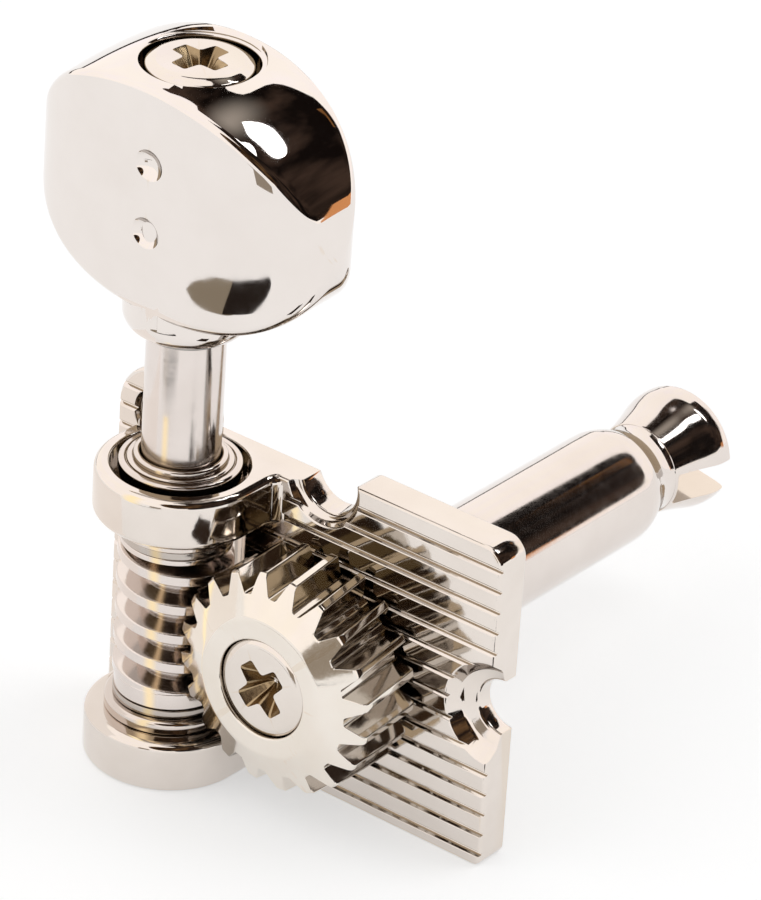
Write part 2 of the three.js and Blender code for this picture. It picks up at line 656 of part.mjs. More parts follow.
// Knob: the grip, leaning a little on its round boss
function knob() {
  let grip = knobGrip();
  for (const side of [-1, 1]) {
    const dimple = turnedY([
      [0, -KNOB_HALF_DEPTH - DIMPLE_DEPTH],
      [DIMPLE_RADIUS * 2, -KNOB_HALF_DEPTH - DIMPLE_DEPTH],
      [0, -KNOB_HALF_DEPTH + DIMPLE_DEPTH],
    ], SMALL_FACETS);
    const dimpleZ = DIMPLE_ABOVE_CENTRE + (side * DIMPLE_SPACING) / 2;
    grip = grip.subtract(dimple.translate([0, 0, dimpleZ]));
  }
  grip = grip
    .translate([0, KNOB_SETBACK, 0])
    .rotate([0, KNOB_LEAN_DEGREES, 0])
    .rotate([KNOB_LEAN_DEGREES, 0, 0])
    .translate([0, 0, KNOB_CENTRE_Z]);
  const bossRise = BOSS_RADIUS - BOSS_FOOT_RADIUS;
  const boss = [[0, BOSS_BOTTOM], [BOSS_FOOT_RADIUS, BOSS_BOTTOM]];
  for (let step = 1; step <= BOSS_ROUND_STEPS; step += 1) {
    const angle = (step / BOSS_ROUND_STEPS) * (Math.PI / 2);
    boss.push([
      BOSS_FOOT_RADIUS + bossRise * Math.sin(angle),
      BOSS_BOTTOM + BOSS_ROUND_HEIGHT * (1 - Math.cos(angle)),
    ]);
  }
  boss.push([BOSS_RADIUS, KNOB_CENTRE_Z], [0, KNOB_CENTRE_Z]);
  const flat = SHANK_FLATS / 2 + SEAT_GAP;
  const reach = SHANK_RADIUS + OVERRUN;
  const socket = rodZ(SHANK_RADIUS + SEAT_GAP, BOSS_BOTTOM - OVERRUN, KNOB_TOP)
    .intersect(box(-reach, reach, -flat, flat, BOSS_BOTTOM - OVERRUN, KNOB_TOP));
  return grip
    .add(turnedZ(boss))
    .subtract(socket)
    .subtract(rodZ(KNOB_RECESS_RADIUS, KNOB_SEAT_Z, KNOB_TOP + OVERRUN));
}

// Four-armed driver recess that narrows with depth, cut downwards from the given height
function crossRecess(top) {
  let cut = null;
  for (const turn of [0, Math.PI / 2]) {
    const geometry = new THREE.BoxGeometry(CROSS_LENGTH, CROSS_WIDTH, CROSS_DEPTH + OVERRUN);
    const corner = geometry.attributes.position;
    for (let index = 0; index < corner.count; index += 1) {
      if (corner.getZ(index) < 0) {
        corner.setX(index, corner.getX(index) * CROSS_FOOT_SHARE);
      }
    }
    geometry.rotateZ(CROSS_TURN + turn);
    geometry.translate(0, 0, top + (OVERRUN - CROSS_DEPTH) / 2);
    const arm = solid(geometry);
    cut = cut === null ? arm : cut.add(arm);
  }
  return cut;
}

function springWasher(outer, inner, low, thickness) {
  const ring = washerZ(outer, inner, low, thickness);
  const split = box(
    0, outer + OVERRUN, -SPRING_WASHER_SPLIT / 2, SPRING_WASHER_SPLIT / 2,
    low - OVERRUN, low + thickness + OVERRUN,
  );
  return ring.subtract(split);
}

// A screw that stands on Z with its head's top at the given height
function screw(headRadius, headThickness, headEdge, shankRadius, length, top) {
  const underHead = top - headThickness;
  return turnedZ([
    [0, underHead - length],
    [shankRadius, underHead - length],
    [shankRadius, underHead],
    [headRadius, underHead],
    [headRadius, top - headEdge],
    [headRadius - headEdge, top],
    [0, top],
  ]).subtract(crossRecess(top));
}

// Gear blank seen along Y, with straight-flanked teeth
function gearOutline() {
  const points = [];
  const toothAngle = TAU / GEAR_TEETH;
  const half = (radius) => {
    const depth = radius - GEAR_PITCH_RADIUS;
    const width = WORM_PITCH * SPACE_SHARE - TOOTH_BACKLASH - 2 * depth * Math.tan(PRESSURE_ANGLE);
    return width / 2 / radius;
  };
  for (let tooth = 0; tooth < GEAR_TEETH; tooth += 1) {
    const middle = (tooth - MESH_START_SHARE) * toothAngle;
    const places = [
      [GEAR_ROOT_RADIUS, middle - half(GEAR_ROOT_RADIUS)],
      [GEAR_PITCH_RADIUS, middle - half(GEAR_PITCH_RADIUS)],
      [GEAR_OUTER_RADIUS, middle - half(GEAR_OUTER_RADIUS)],
      [GEAR_OUTER_RADIUS, middle + half(GEAR_OUTER_RADIUS)],
      [GEAR_PITCH_RADIUS, middle + half(GEAR_PITCH_RADIUS)],
      [GEAR_ROOT_RADIUS, middle + half(GEAR_ROOT_RADIUS)],
    ];
    for (const [radius, angle] of places) {
      points.push([radius * Math.cos(angle), radius * Math.sin(angle)]);
    }
  }
  return polygon(points);
}

// Worm wheel: helical teeth with a coned front, a square hole and a seat for its screw
function gear() {
  const depth = GEAR_BACK_Y - GEAR_FACE_Y;
  const geometry = new THREE.ExtrudeGeometry(gearOutline(), {
    depth,
    steps: GEAR_TWIST_STEPS,
    bevelEnabled: false,
  });
  geometry.rotateX(Math.PI / 2);
  geometry.translate(0, GEAR_BACK_Y, 0);
  // The helix follows the worm's lead angle, and mid width keeps the outline's own angle
  const twistPerLength = WORM_PITCH / (TAU * WORM_PITCH_RADIUS) / GEAR_PITCH_RADIUS;
  const corner = geometry.attributes.position;
  for (let index = 0; index < corner.count; index += 1) {
    const turn = twistPerLength * (corner.getY(index) - WORM_Y);
    const x = corner.getX(index);
    const z = corner.getZ(index);
    corner.setX(index, x * Math.cos(turn) - z * Math.sin(turn));
    corner.setZ(index, x * Math.sin(turn) + z * Math.cos(turn));
  }
  const blank = turnedY([
    [0, GEAR_FACE_Y],
    [GEAR_HUB_RADIUS, GEAR_FACE_Y],
    [GEAR_OUTER_RADIUS, GEAR_RIM_Y],
    [GEAR_OUTER_RADIUS + OVERRUN, GEAR_RIM_Y],
    [GEAR_OUTER_RADIUS + OVERRUN, GEAR_BACK_Y],
    [0, GEAR_BACK_Y],
  ], ROUND_FACETS * 2);
  const square = GEAR_SQUARE / 2 + SEAT_GAP;
  return solid(geometry)
    .intersect(blank)
    .subtract(box(-square, square, GEAR_FACE_Y - OVERRUN, GEAR_BACK_Y + OVERRUN, -square, square))
    .subtract(rodY(GEAR_HEAD_RADIUS + RUNNING_GAP, GEAR_FACE_Y - OVERRUN, GEAR_SEAT_Y));
}

// Turn a solid that stands on Z so that its top faces the plate's front
function facingFront(body) {
  return body.rotate([90, 0, 0]);
}

function gearWasher() {
  const low = GEAR_BACK_Y + FACE_GAP;
  const inner = POST_JOURNAL_RADIUS + RUNNING_GAP;
  return rodY(GEAR_WASHER_RADIUS, low, low + GEAR_WASHER_THICKNESS)
    .subtract(rodY(inner, low - OVERRUN, low + GEAR_WASHER_THICKNESS + OVERRUN));
}

// String post: square shank in the gear, journal in the plate, barrel, neck and slotted head
function stringPost() {
  const shankFront = GEAR_SEAT_Y + POST_SHANK_SHORT;
  const shoulder = FACE_GAP - POST_SINK_DEPTH;
  const journalFront = GEAR_BACK_Y + FACE_GAP;
  const profile = [
    [0, journalFront],
    [POST_JOURNAL_RADIUS, journalFront],
    [POST_JOURNAL_RADIUS, shoulder],
    [POST_RADIUS, shoulder],
    [POST_RADIUS, POST_BODY_LENGTH],
  ];
  for (const [lengthShare, narrowingShare] of POST_NECK_SHARES) {
    profile.push([
      POST_RADIUS - (POST_RADIUS - POST_NECK_RADIUS) * narrowingShare,
      POST_BODY_LENGTH + (POST_NECK_START - POST_BODY_LENGTH) * lengthShare,
    ]);
  }
  profile.push([POST_NECK_RADIUS, POST_NECK_END]);
  for (let step = 0; step <= POST_ROUND_STEPS; step += 1) {
    const angle = (step / POST_ROUND_STEPS) * (Math.PI / 2);
    profile.push([
      POST_HEAD_RADIUS - POST_END_ROUNDING * (1 - Math.cos(angle)),
      step === 0
        ? POST_HEAD_START
        : POST_LENGTH - POST_END_ROUNDING * (1 - Math.sin(angle)) - POST_END_DOME,
    ]);
  }
  profile.push([0, POST_LENGTH]);
  const turned = turnedY(profile);
  const half = GEAR_SQUARE / 2;
  const shank = box(-half, half, shankFront, journalFront + OVERRUN, -half, half);
  const slot = box(
    -POST_HEAD_RADIUS - OVERRUN, POST_HEAD_RADIUS + OVERRUN,
    POST_LENGTH - POST_SLOT_DEPTH, POST_LENGTH + OVERRUN,
    -POST_SLOT_WIDTH / 2, POST_SLOT_WIDTH / 2,
  ).rotate([0, (-POST_SLOT_ANGLE * 180) / Math.PI, 0]);
  const tapped = rodY(
    GEAR_SCREW_RADIUS + RUNNING_GAP, shankFront - OVERRUN,
    GEAR_HEAD_BACK_Y + GEAR_SCREW_LENGTH + RUNNING_GAP, SMALL_FACETS,
  );
  return turned.add(shank).subtract(slot).subtract(tapped);
}

const onWormAxis = [WORM_X, WORM_Y, 0];
const washerBore = STEM_RADIUS + 2 * RUNNING_GAP;

addPiece("base_plate", basePlate(), NICKEL, 0.14);
addPiece("upper_worm_bush", upperBush(), BRIGHT_NICKEL, 0.1, onWormAxis);
addPiece("lower_worm_bush", lowerBush(), BRIGHT_NICKEL, 0.12, onWormAxis);
addPiece(
  "upper_thrust_washer",
  washerZ(THRUST_WASHER_RADIUS, washerBore, UPPER_WASHER_BOTTOM, THRUST_WASHER_THICKNESS),
  WASHER_STEEL, 0.25, onWormAxis,
);
addPiece(
  "lower_thrust_washer",
  washerZ(THRUST_WASHER_RADIUS, washerBore, LOWER_WASHER_BOTTOM, THRUST_WASHER_THICKNESS),
  WASHER_STEEL, 0.25, onWormAxis,
);
addPiece("worm_shaft", wormShaft(), BRIGHT_NICKEL, 0.1, onWormAxis);
addPiece(
  "knob_seat_washer",
  washerZ(SEAT_WASHER_RADIUS, SHANK_RADIUS + SEAT_GAP, SEAT_WASHER_BOTTOM, SEAT_WASHER_THICKNESS),
  SPRING_STEEL, 0.25, onWormAxis,
);
addPiece("knob", knob(), BRIGHT_NICKEL, 0.08, onWormAxis);
addPiece(
  "knob_spring_washer",
  springWasher(SPRING_WASHER_RADIUS, KNOB_SCREW_RADIUS + RUNNING_GAP, KNOB_SPRING_BOTTOM, SPRING_WASHER_THICKNESS),
  SPRING_STEEL, 0.3, onWormAxis,
);
addPiece(
  "knob_screw",
  screw(
    KNOB_HEAD_RADIUS, KNOB_HEAD_THICKNESS, KNOB_HEAD_EDGE, KNOB_SCREW_RADIUS, KNOB_SCREW_LENGTH,
    KNOB_HEAD_BOTTOM + KNOB_HEAD_THICKNESS,
  ),
  BRIGHT_NICKEL, 0.12, onWormAxis,
);
addPiece("gear", gear(), BRIGHT_NICKEL, 0.12);
addPiece("gear_thrust_washer", gearWasher(), WASHER_STEEL, 0.25);
addPiece(
  "gear_spring_washer",
  facingFront(springWasher(
    GEAR_SPRING_RADIUS, GEAR_SCREW_RADIUS + RUNNING_GAP,
    -GEAR_SEAT_Y + SEAT_GAP, GEAR_SPRING_THICKNESS,
  )),
  SPRING_STEEL, 0.3,
);
addPiece(
  "gear_screw",
  facingFront(screw(
    GEAR_HEAD_RADIUS, GEAR_HEAD_THICKNESS, RUNNING_GAP, GEAR_SCREW_RADIUS, GEAR_SCREW_LENGTH,
    -GEAR_FACE_Y,
  )),
  BRIGHT_NICKEL, 0.1,
);
addPiece("string_post", stringPost(), BRIGHT_NICKEL, 0.12);

tuner.position.set(-MOUNT_X, 0, 0);
const part = new THREE.Group();
part.add(tuner);

export default part;
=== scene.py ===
# Looks of the string tuning machine: nickel-plated knob, worm, wheel, plate and post.
# Sizes are millimetres in the fit frame, whose X is measured from the post's axis; placed() turns
# them into the row frame in metres.
from contextlib import contextmanager
from math import asin, atan2, ceil, cos, hypot, pi, radians, sin, tan

import bmesh
import bpy
from mathutils import Matrix, Vector


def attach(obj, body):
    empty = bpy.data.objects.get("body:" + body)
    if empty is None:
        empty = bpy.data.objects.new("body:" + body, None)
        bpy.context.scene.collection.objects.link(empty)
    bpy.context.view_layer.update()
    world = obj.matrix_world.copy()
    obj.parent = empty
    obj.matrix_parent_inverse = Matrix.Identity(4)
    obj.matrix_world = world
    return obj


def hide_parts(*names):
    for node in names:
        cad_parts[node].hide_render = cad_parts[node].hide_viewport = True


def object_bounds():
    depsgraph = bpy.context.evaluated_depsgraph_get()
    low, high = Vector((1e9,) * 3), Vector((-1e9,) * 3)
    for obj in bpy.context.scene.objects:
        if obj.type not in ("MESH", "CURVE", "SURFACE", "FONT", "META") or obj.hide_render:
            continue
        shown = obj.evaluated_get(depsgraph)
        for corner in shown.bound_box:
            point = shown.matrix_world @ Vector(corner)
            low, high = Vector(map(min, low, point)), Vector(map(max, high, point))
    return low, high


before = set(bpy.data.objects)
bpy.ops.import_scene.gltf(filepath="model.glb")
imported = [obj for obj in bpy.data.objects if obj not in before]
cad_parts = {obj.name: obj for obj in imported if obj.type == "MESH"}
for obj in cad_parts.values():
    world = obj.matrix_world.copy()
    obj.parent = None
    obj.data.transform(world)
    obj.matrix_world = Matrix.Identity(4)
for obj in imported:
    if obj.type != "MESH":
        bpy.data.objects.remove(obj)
cad_low, cad_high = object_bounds()

MM = 0.001
TAU = 2 * pi
POST_AXIS_X = -6.0
ROUND_SIDES = 144
SMALL_SIDES = 72
ROUND_STEPS = 5
THREAD_ROWS = 300
SEAM = 1e-7

# Clearances, as in the part
RUNNING_GAP = 0.05
FACE_GAP = 0.04
SEAT_GAP = 0.03
OVERRUN = 1.0

# Gearing
GEAR_TEETH = 20
GEAR_OUTER_RADIUS = 6.0
GEAR_PITCH_RADIUS = GEAR_OUTER_RADIUS * 0.89127
WORM_PITCH = TAU * GEAR_PITCH_RADIUS / GEAR_TEETH
WORM_PITCH_RADIUS = 2.7
WORM_OUTER_RADIUS = WORM_PITCH_RADIUS + WORM_PITCH * 0.1488
AXIS_DISTANCE = GEAR_PITCH_RADIUS + WORM_PITCH_RADIUS
PRESSURE_TANGENT = tan(radians(18))
TOOTH_BACKLASH = 0.085
THREAD_SHARE = 0.46
MESH_START_SHARE = 0.367
ROOT_CLEARANCE = 0.2
WORM_ROOT_RADIUS = AXIS_DISTANCE - GEAR_OUTER_RADIUS - ROOT_CLEARANCE
GEAR_ROOT_RADIUS = AXIS_DISTANCE - WORM_OUTER_RADIUS - ROOT_CLEARANCE

# Base plate
PLATE_THICK = 2.06
PLATE_LEFT = -AXIS_DISTANCE - 6.05
PLATE_RIGHT = 10.35
PLATE_TOP = 9.85
PLATE_BOTTOM = -8.2
PLATE_CORNER_CUT = 0.65
PLATE_CORNER_RADIUS = 0.5
PLATE_LOWER_ROUND = 0.5
PLATE_EDGE_ROUND = 0.2
LUG_RADIUS = 2.65
LUG_X = PLATE_LEFT + LUG_RADIUS
LUG_Z = 8.83
LUG_HOLE_RADIUS = 1.3
LUG_SINK_RADIUS = 1.6
LUG_SINK_DEPTH = 0.35
TOP_NOTCH = (-0.85, 9.2)
TOP_NOTCH_RADIUS = 1.75
TOP_SINK_RADIUS = 2.3
TOP_SINK_DEPTH = 0.5
SIDE_NOTCH_Z = 0.64
SIDE_NOTCH_RADIUS = 1.5
SIDE_SINK_RADIUS = 2.83
SIDE_SINK_DEPTH = 1.0
GROOVE_COUNT = 15
GROOVE_PITCH = 1.157
GROOVE_FIRST_Z = 8.75
GROOVE_WIDTH = 0.36
GROOVE_DEPTH = 0.24
TROUGH_RADIUS = 3.45
FRONT_Y = -PLATE_THICK

# Ears
EAR_RADIUS = 4.3
EAR_THICK = 2.8
EAR_TOP = 8.6
EAR_ROUNDING = 0.45
EAR_FILLET = 0.6
UPPER_EAR_BOTTOM = EAR_TOP - EAR_THICK
LOWER_EAR_TOP = PLATE_BOTTOM + EAR_THICK

# Bushes and thrust washers
BUSH_RADIUS = 3.05
BUSH_FLANGE_RADIUS = 3.12
BUSH_SINK_RADIUS = 3.5
BUSH_SINK_DEPTH = 1.0
BUSH_COLLAR_RADIUS = 2.38
BUSH_COLLAR_HEIGHT = 0.3
BUSH_STEP_RADIUS = 2.78
UPPER_BUSH_BOTTOM = UPPER_EAR_BOTTOM - 0.8
UPPER_BUSH_TOP = EAR_TOP + 0.35
THRUST_RADIUS = 2.9
THRUST_THICK = 0.4
UPPER_WASHER_BOTTOM = UPPER_BUSH_BOTTOM - FACE_GAP - THRUST_THICK
WORM_TOP = UPPER_WASHER_BOTTOM - FACE_GAP
LOWER_FLANGE_RADIUS = 3.3
LOWER_SLEEVE_RADIUS = 2.6
LOWER_SLEEVE_BOTTOM = PLATE_BOTTOM + 0.25
LOWER_BUSH_BOTTOM = LOWER_EAR_TOP + SEAT_GAP
LOWER_BUSH_TOP = LOWER_BUSH_BOTTOM + 0.7
LOWER_WASHER_BOTTOM = LOWER_BUSH_TOP + FACE_GAP
WORM_BOTTOM = LOWER_WASHER_BOTTOM + THRUST_THICK + FACE_GAP

# Worm shaft
STEM_RADIUS = 2.0
STEM_TOP = 16.0
JOURNAL_RADIUS = 1.75
WORM_COLLAR_RADIUS = 2.85
WORM_LOWER_COLLAR = 0.95
WORM_UPPER_COLLAR = 0.35
SHANK_RADIUS = 1.9
SHANK_TOP = 28.6

# Knob
KNOB_CENTRE_Z = 23.36
KNOB_HALF_WIDTH = 8.92
KNOB_HALF_DEPTH = 3.8
KNOB_RISE = 7.7
KNOB_DROP = 5.34
KNOB_CROWN = 0.4
KNOB_PLAN_POWER = 2.4
KNOB_TOP_POWER = 2.0
KNOB_BOTTOM_POWER = 2.27
KNOB_TOP_ROUND = 0.4
KNOB_BOTTOM_ROUND = 0.7
KNOB_SETBACK = 0.25
KNOB_LEAN = radians(3.15)
KNOB_STATIONS = 110
BOSS_RADIUS = 3.25
BOSS_FOOT_RADIUS = 2.5
BOSS_ROUND_HEIGHT = 1.0
SEAT_WASHER_RADIUS = 2.3
SEAT_WASHER_THICK = 0.25
SEAT_WASHER_BOTTOM = STEM_TOP + SEAT_GAP
BOSS_BOTTOM = SEAT_WASHER_BOTTOM + SEAT_WASHER_THICK + SEAT_GAP
KNOB_RECESS_RADIUS = 2.95
KNOB_TOP = KNOB_CENTRE_Z + KNOB_RISE
KNOB_SEAT_Z = KNOB_TOP - 2.1
KNOB_RIM_Z = KNOB_TOP - 0.42
KNOB_RIM_RADIUS = 3.22
DIMPLE_RADIUS = 0.86
DIMPLE_DEPTH = 0.42
DIMPLE_LIP = 0.03
DIMPLE_HEIGHTS = (22.75, 26.55)

# Screws and spring washers
KNOB_HEAD_RADIUS = 2.72
KNOB_HEAD_THICK = 1.4
KNOB_SCREW_RADIUS = 1.25
KNOB_SCREW_LENGTH = 6.0
KNOB_SPRING_RADIUS = 2.4
KNOB_SPRING_THICK = 0.36
KNOB_SPRING_BOTTOM = KNOB_SEAT_Z + SEAT_GAP
KNOB_HEAD_TOP = KNOB_SPRING_BOTTOM + KNOB_SPRING_THICK + SEAT_GAP + KNOB_HEAD_THICK
GEAR_HEAD_RADIUS = 2.6
GEAR_HEAD_THICK = 1.1
GEAR_SCREW_RADIUS = 1.1
GEAR_SCREW_LENGTH = 5.0
GEAR_SPRING_RADIUS = 2.2
GEAR_SPRING_THICK = 0.3
SPRING_SPLIT = 0.2
CROSS_LENGTH = 3.0
CROSS_WIDTH = 0.8
# Depth below the head's top, and the cross's share of its size there
CROSS_TAPER = ((-0.4, 1.16), (0.02, 1.0), (0.12, 0.9), (1.0, 0.42), (1.25, 0.1))
CROSS_REACH = 1.75
KNOB_CROSS_TURN = radians(-6)
GEAR_CROSS_TURN = radians(43)

# Gear
GEAR_WIDTH = 3.81
GEAR_NOSE = 0.93
GEAR_HUB_RADIUS = 3.7
GEAR_WASHER_RADIUS = 3.9
GEAR_WASHER_THICK = 0.3
GEAR_BACK_Y = FRONT_Y - GEAR_WASHER_THICK - 2 * FACE_GAP
GEAR_RIM_Y = GEAR_BACK_Y - GEAR_WIDTH
GEAR_FACE_Y = GEAR_RIM_Y - GEAR_NOSE
GEAR_SEAT_Y = GEAR_FACE_Y + 1.5
GEAR_BORE_RADIUS = 2.44
WORM_X = -AXIS_DISTANCE
WORM_Y = (GEAR_BACK_Y + GEAR_RIM_Y) / 2

# Post
POST_RADIUS = 3.175
POST_JOURNAL_RADIUS = 2.7
POST_SHANK_RADIUS = 1.7
POST_SINK_GAP = 0.12
POST_SINK_DEPTH = 0.5
POST_HEAD_RADIUS = 3.32
POST_LENGTH = 27.92
# Radius and distance behind the plate's back
POST_SHOULDER_CURVE = (
    (POST_RADIUS, 18.0), (POST_RADIUS, 20.6), (3.13, 21.3), (2.985, 21.9), (2.72, 22.5), (2.53, 23.05),
    (2.46, 23.6), (2.49, 23.95),
)
POST_HEAD_CURVE = (
    (2.53, 23.97), (2.75, 24.9), (2.93, 25.6), (3.14, 26.3), (3.28, 26.85), (POST_HEAD_RADIUS, 27.3),
)
POST_SLOT_WIDTH = 1.9
POST_SLOT_DEPTH = 3.8
POST_SLOT_ANGLE = radians(-10)


def placed(point):
    """A point in millimetres of the fit frame, as metres of the row frame"""
    return Vector((point[0] + POST_AXIS_X, point[1], point[2])) * MM


def spread(start, end, count):
    """Even steps from start to end, both included"""
    return [start + (end - start) * step / count for step in range(count + 1)]


def on_worm(x, y, z):
    return (x + WORM_X, y + WORM_Y, z)


def on_lug(x, y, z):
    return (LUG_X + x, z, LUG_Z + y)


def on_post(x, y, z):
    """A piece drawn standing on Z, laid along the post's axis with its top towards the front"""
    return (x, -z, y)


@contextmanager
def opened(mesh):
    """The mesh's points and faces for editing, written back at the end"""
    shell = bmesh.new()
    shell.from_mesh(mesh)
    yield shell
    shell.to_mesh(mesh)
    shell.free()


def weld(mesh):
    """Joins doubled points and turns every face outwards"""
    with opened(mesh) as shell:
        bmesh.ops.remove_doubles(shell, verts=shell.verts, dist=SEAM)
        bmesh.ops.recalc_face_normals(shell, faces=shell.faces)


def show(name, data):
    """A new object in the scene"""
    made = bpy.data.objects.new(name, data)
    bpy.context.scene.collection.objects.link(made)
    return made


def soften(corners, closed=False):
    """Corners as (u, v) or (u, v, radius): each radius turns its corner into a short arc"""
    points = []
    count = len(corners)
    for place, corner in enumerate(corners):
        inside = closed or 0 < place < count - 1
        if len(corner) == 2 or not inside:
            points.append(corner[:2])
            continue
        radius = corner[2]
        here = Vector(corner[:2])
        back = Vector(corners[place - 1][:2]) - here
        ahead = Vector(corners[(place + 1) % count][:2]) - here
        half = back.angle(ahead) / 2
        reach = min(radius / tan(half), 0.49 * back.length, 0.49 * ahead.length)
        radius = reach * tan(half)
        centre = here + (back.normalized() + ahead.normalized()).normalized() * (radius / sin(half))
        start = here + back.normalized() * reach - centre
        end = here + ahead.normalized() * reach - centre
        for share in spread(0, 1, ROUND_STEPS):
            ray = start.lerp(end, share).normalized() * radius
            points.append((centre.x + ray.x, centre.y + ray.y))
    return points


def eased(points, steps):
    """A smooth run of points through the given ones"""
    smooth = []
    count = len(points)
    for place in range(count - 1):
        a, b = Vector(points[place]), Vector(points[place + 1])
        before = Vector(points[max(place - 1, 0)])
        after = Vector(points[min(place + 2, count - 1)])
        for t in spread(0, 1, steps)[:-1]:
            smooth.append(tuple(
                0.5 * ((2 * a) + (b - before) * t + (2 * before - 5 * a + 4 * b - after) * t ** 2
                       + (3 * a - before - 3 * b + after) * t ** 3)
            ))
    smooth.append(tuple(points[-1]))
    return smooth


def stacked(name, sections, capped=True, closed=False, cyclic=True):
    """A piece skinned over sections of points; a section of one point is a pole"""
    rings = []
    points = []
    for section in sections:
        rings.append(range(len(points), len(points) + len(section)))
        points += [placed(point) for point in section]
    faces = []
    for low, high in zip(rings, rings[1:] + (rings[:1] if closed else [])):
        count = max(len(low), len(high))
        for place in range(count if cyclic else count - 1):
            ahead = (place + 1) % count
            if len(low) == 1:
                faces.append((low[0], high[ahead], high[place]))
            elif len(high) == 1:
                faces.append((low[place], low[ahead], high[0]))
            else:
                faces.append((low[place], low[ahead], high[ahead], high[place]))
    if capped:
        faces += [tuple(rings[0]), tuple(reversed(rings[-1]))]
    mesh = bpy.data.meshes.new(name)
    mesh.from_pydata(points, [], faces)
    weld(mesh)
    return show(name, mesh)


def turned(name, profile, place, closed=False, sides=ROUND_SIDES):
    """A turned piece from (radius, height) pairs, standing on Z; place() puts each point"""
    turns = spread(0, TAU, sides)[:-1]
    return stacked(name, [
        [place(radius * cos(turn), radius * sin(turn), height) for turn in (turns if radius else turns[:1])]
        for radius, height in profile
    ], False, closed)


def rod(radius, low, high, place, sides=ROUND_SIDES):
    return turned("cutter", [(0, low), (radius, low), (radius, high), (0, high)], place, sides=sides)


def prism(name, outline, low, high, place):
    """A bar between two heights with the given (u, v) outline"""
    return stacked(name, [[place(u, v, w) for u, v in outline] for w in (low, high)])


def settle(piece):
    """Applies the piece's modifiers and leaves a plain mesh"""
    graph = bpy.context.evaluated_depsgraph_get()
    mesh = bpy.data.meshes.new_from_object(piece.evaluated_get(graph))
    piece.modifiers.clear()
    old, piece.data = piece.data, mesh
    bpy.data.meshes.remove(old)


def carve(piece, cutters, operation="DIFFERENCE"):
    for cutter in cutters:
        step = piece.modifiers.new("carve", "BOOLEAN")
        step.operation = operation
        step.solver = "MANIFOLD"
        step.object = cutter
    settle(piece)
    for cutter in cutters:
        bpy.data.objects.remove(cutter)


def round_edges(piece, width, least_angle):
    """A small rounding on every edge sharper than the given angle"""
    step = piece.modifiers.new("round", "BEVEL")
    step.width = width * MM
    step.segments = 3
    step.limit_method = "ANGLE"
    step.angle_limit = radians(least_angle)
    settle(piece)


def add(tree, kind, inputs=None, **settings):
    """One node; each input takes a value, a socket or a node's first output.

    kind leaves out the ShaderNode in front.
    """
    made = tree.nodes.new(kind if kind.startswith(("Geometry", "NodeGroup")) else "ShaderNode" + kind)
    for name, value in settings.items():
        setattr(made, name, value)
    for name, value in (inputs or {}).items():
        if isinstance(value, bpy.types.Node):
            value = next(socket for socket in value.outputs if socket.enabled)
        if isinstance(value, bpy.types.NodeSocket):
            tree.links.new(value, made.inputs[name])
        else:
            made.inputs[name].default_value = value
    return made


def size_tree(name, sizes):
    """A Geometry Nodes tree with a mesh and named sizes going in, and a mesh coming out"""
    tree = bpy.data.node_groups.new(name, "GeometryNodeTree")
    tree.interface.new_socket("Shape", in_out="INPUT", socket_type="NodeSocketGeometry")
    for label, value in sizes.items():
        kind = "NodeSocketInt" if isinstance(value, int) else "NodeSocketFloat"
        tree.interface.new_socket(label, in_out="INPUT", socket_type=kind)
    tree.interface.new_socket("Material", in_out="INPUT", socket_type="NodeSocketMaterial")
    tree.interface.new_socket("Shape", in_out="OUTPUT", socket_type="NodeSocketGeometry")
    return tree, tree.nodes.new("NodeGroupInput").outputs


def grow(piece, tree, shape, sizes, material):
    """Ends the tree, runs it on the piece with its sizes, and leaves a plain closed mesh"""
    given = tree.nodes["Group Input"].outputs
    whole = add(tree, "GeometryNodeRealizeInstances", {"Geometry": shape})
    dressed = add(tree, "GeometryNodeSetMaterial", {"Geometry": whole, "Material": given["Material"]})
    add(tree, "NodeGroupOutput", {"Shape": dressed})
    step = piece.modifiers.new(tree.name, "NODES")
    step.node_group = tree
    values = {**sizes, "Material": material}
    for socket in tree.interface.items_tree:
        if socket.in_out == "INPUT" and socket.name in values:
            step[socket.identifier] = values[socket.name]
    settle(piece)
    weld(piece.data)


# Materials
def linear(code):
    """An sRGB hex colour as linear red, green, blue and alpha"""
    channels = [int(code[place:place + 2], 16) / 255 for place in (1, 3, 5)]
    return tuple(
        value / 12.92 if value <= 0.04045 else ((value + 0.055) / 1.055) ** 2.4
        for value in channels
    ) + (1.0,)


def blank_material(name):
    """A material and its empty node tree"""
    material = bpy.data.materials.new(name)
    material.use_nodes = True
    material.node_tree.nodes.clear()
    return material, material.node_tree


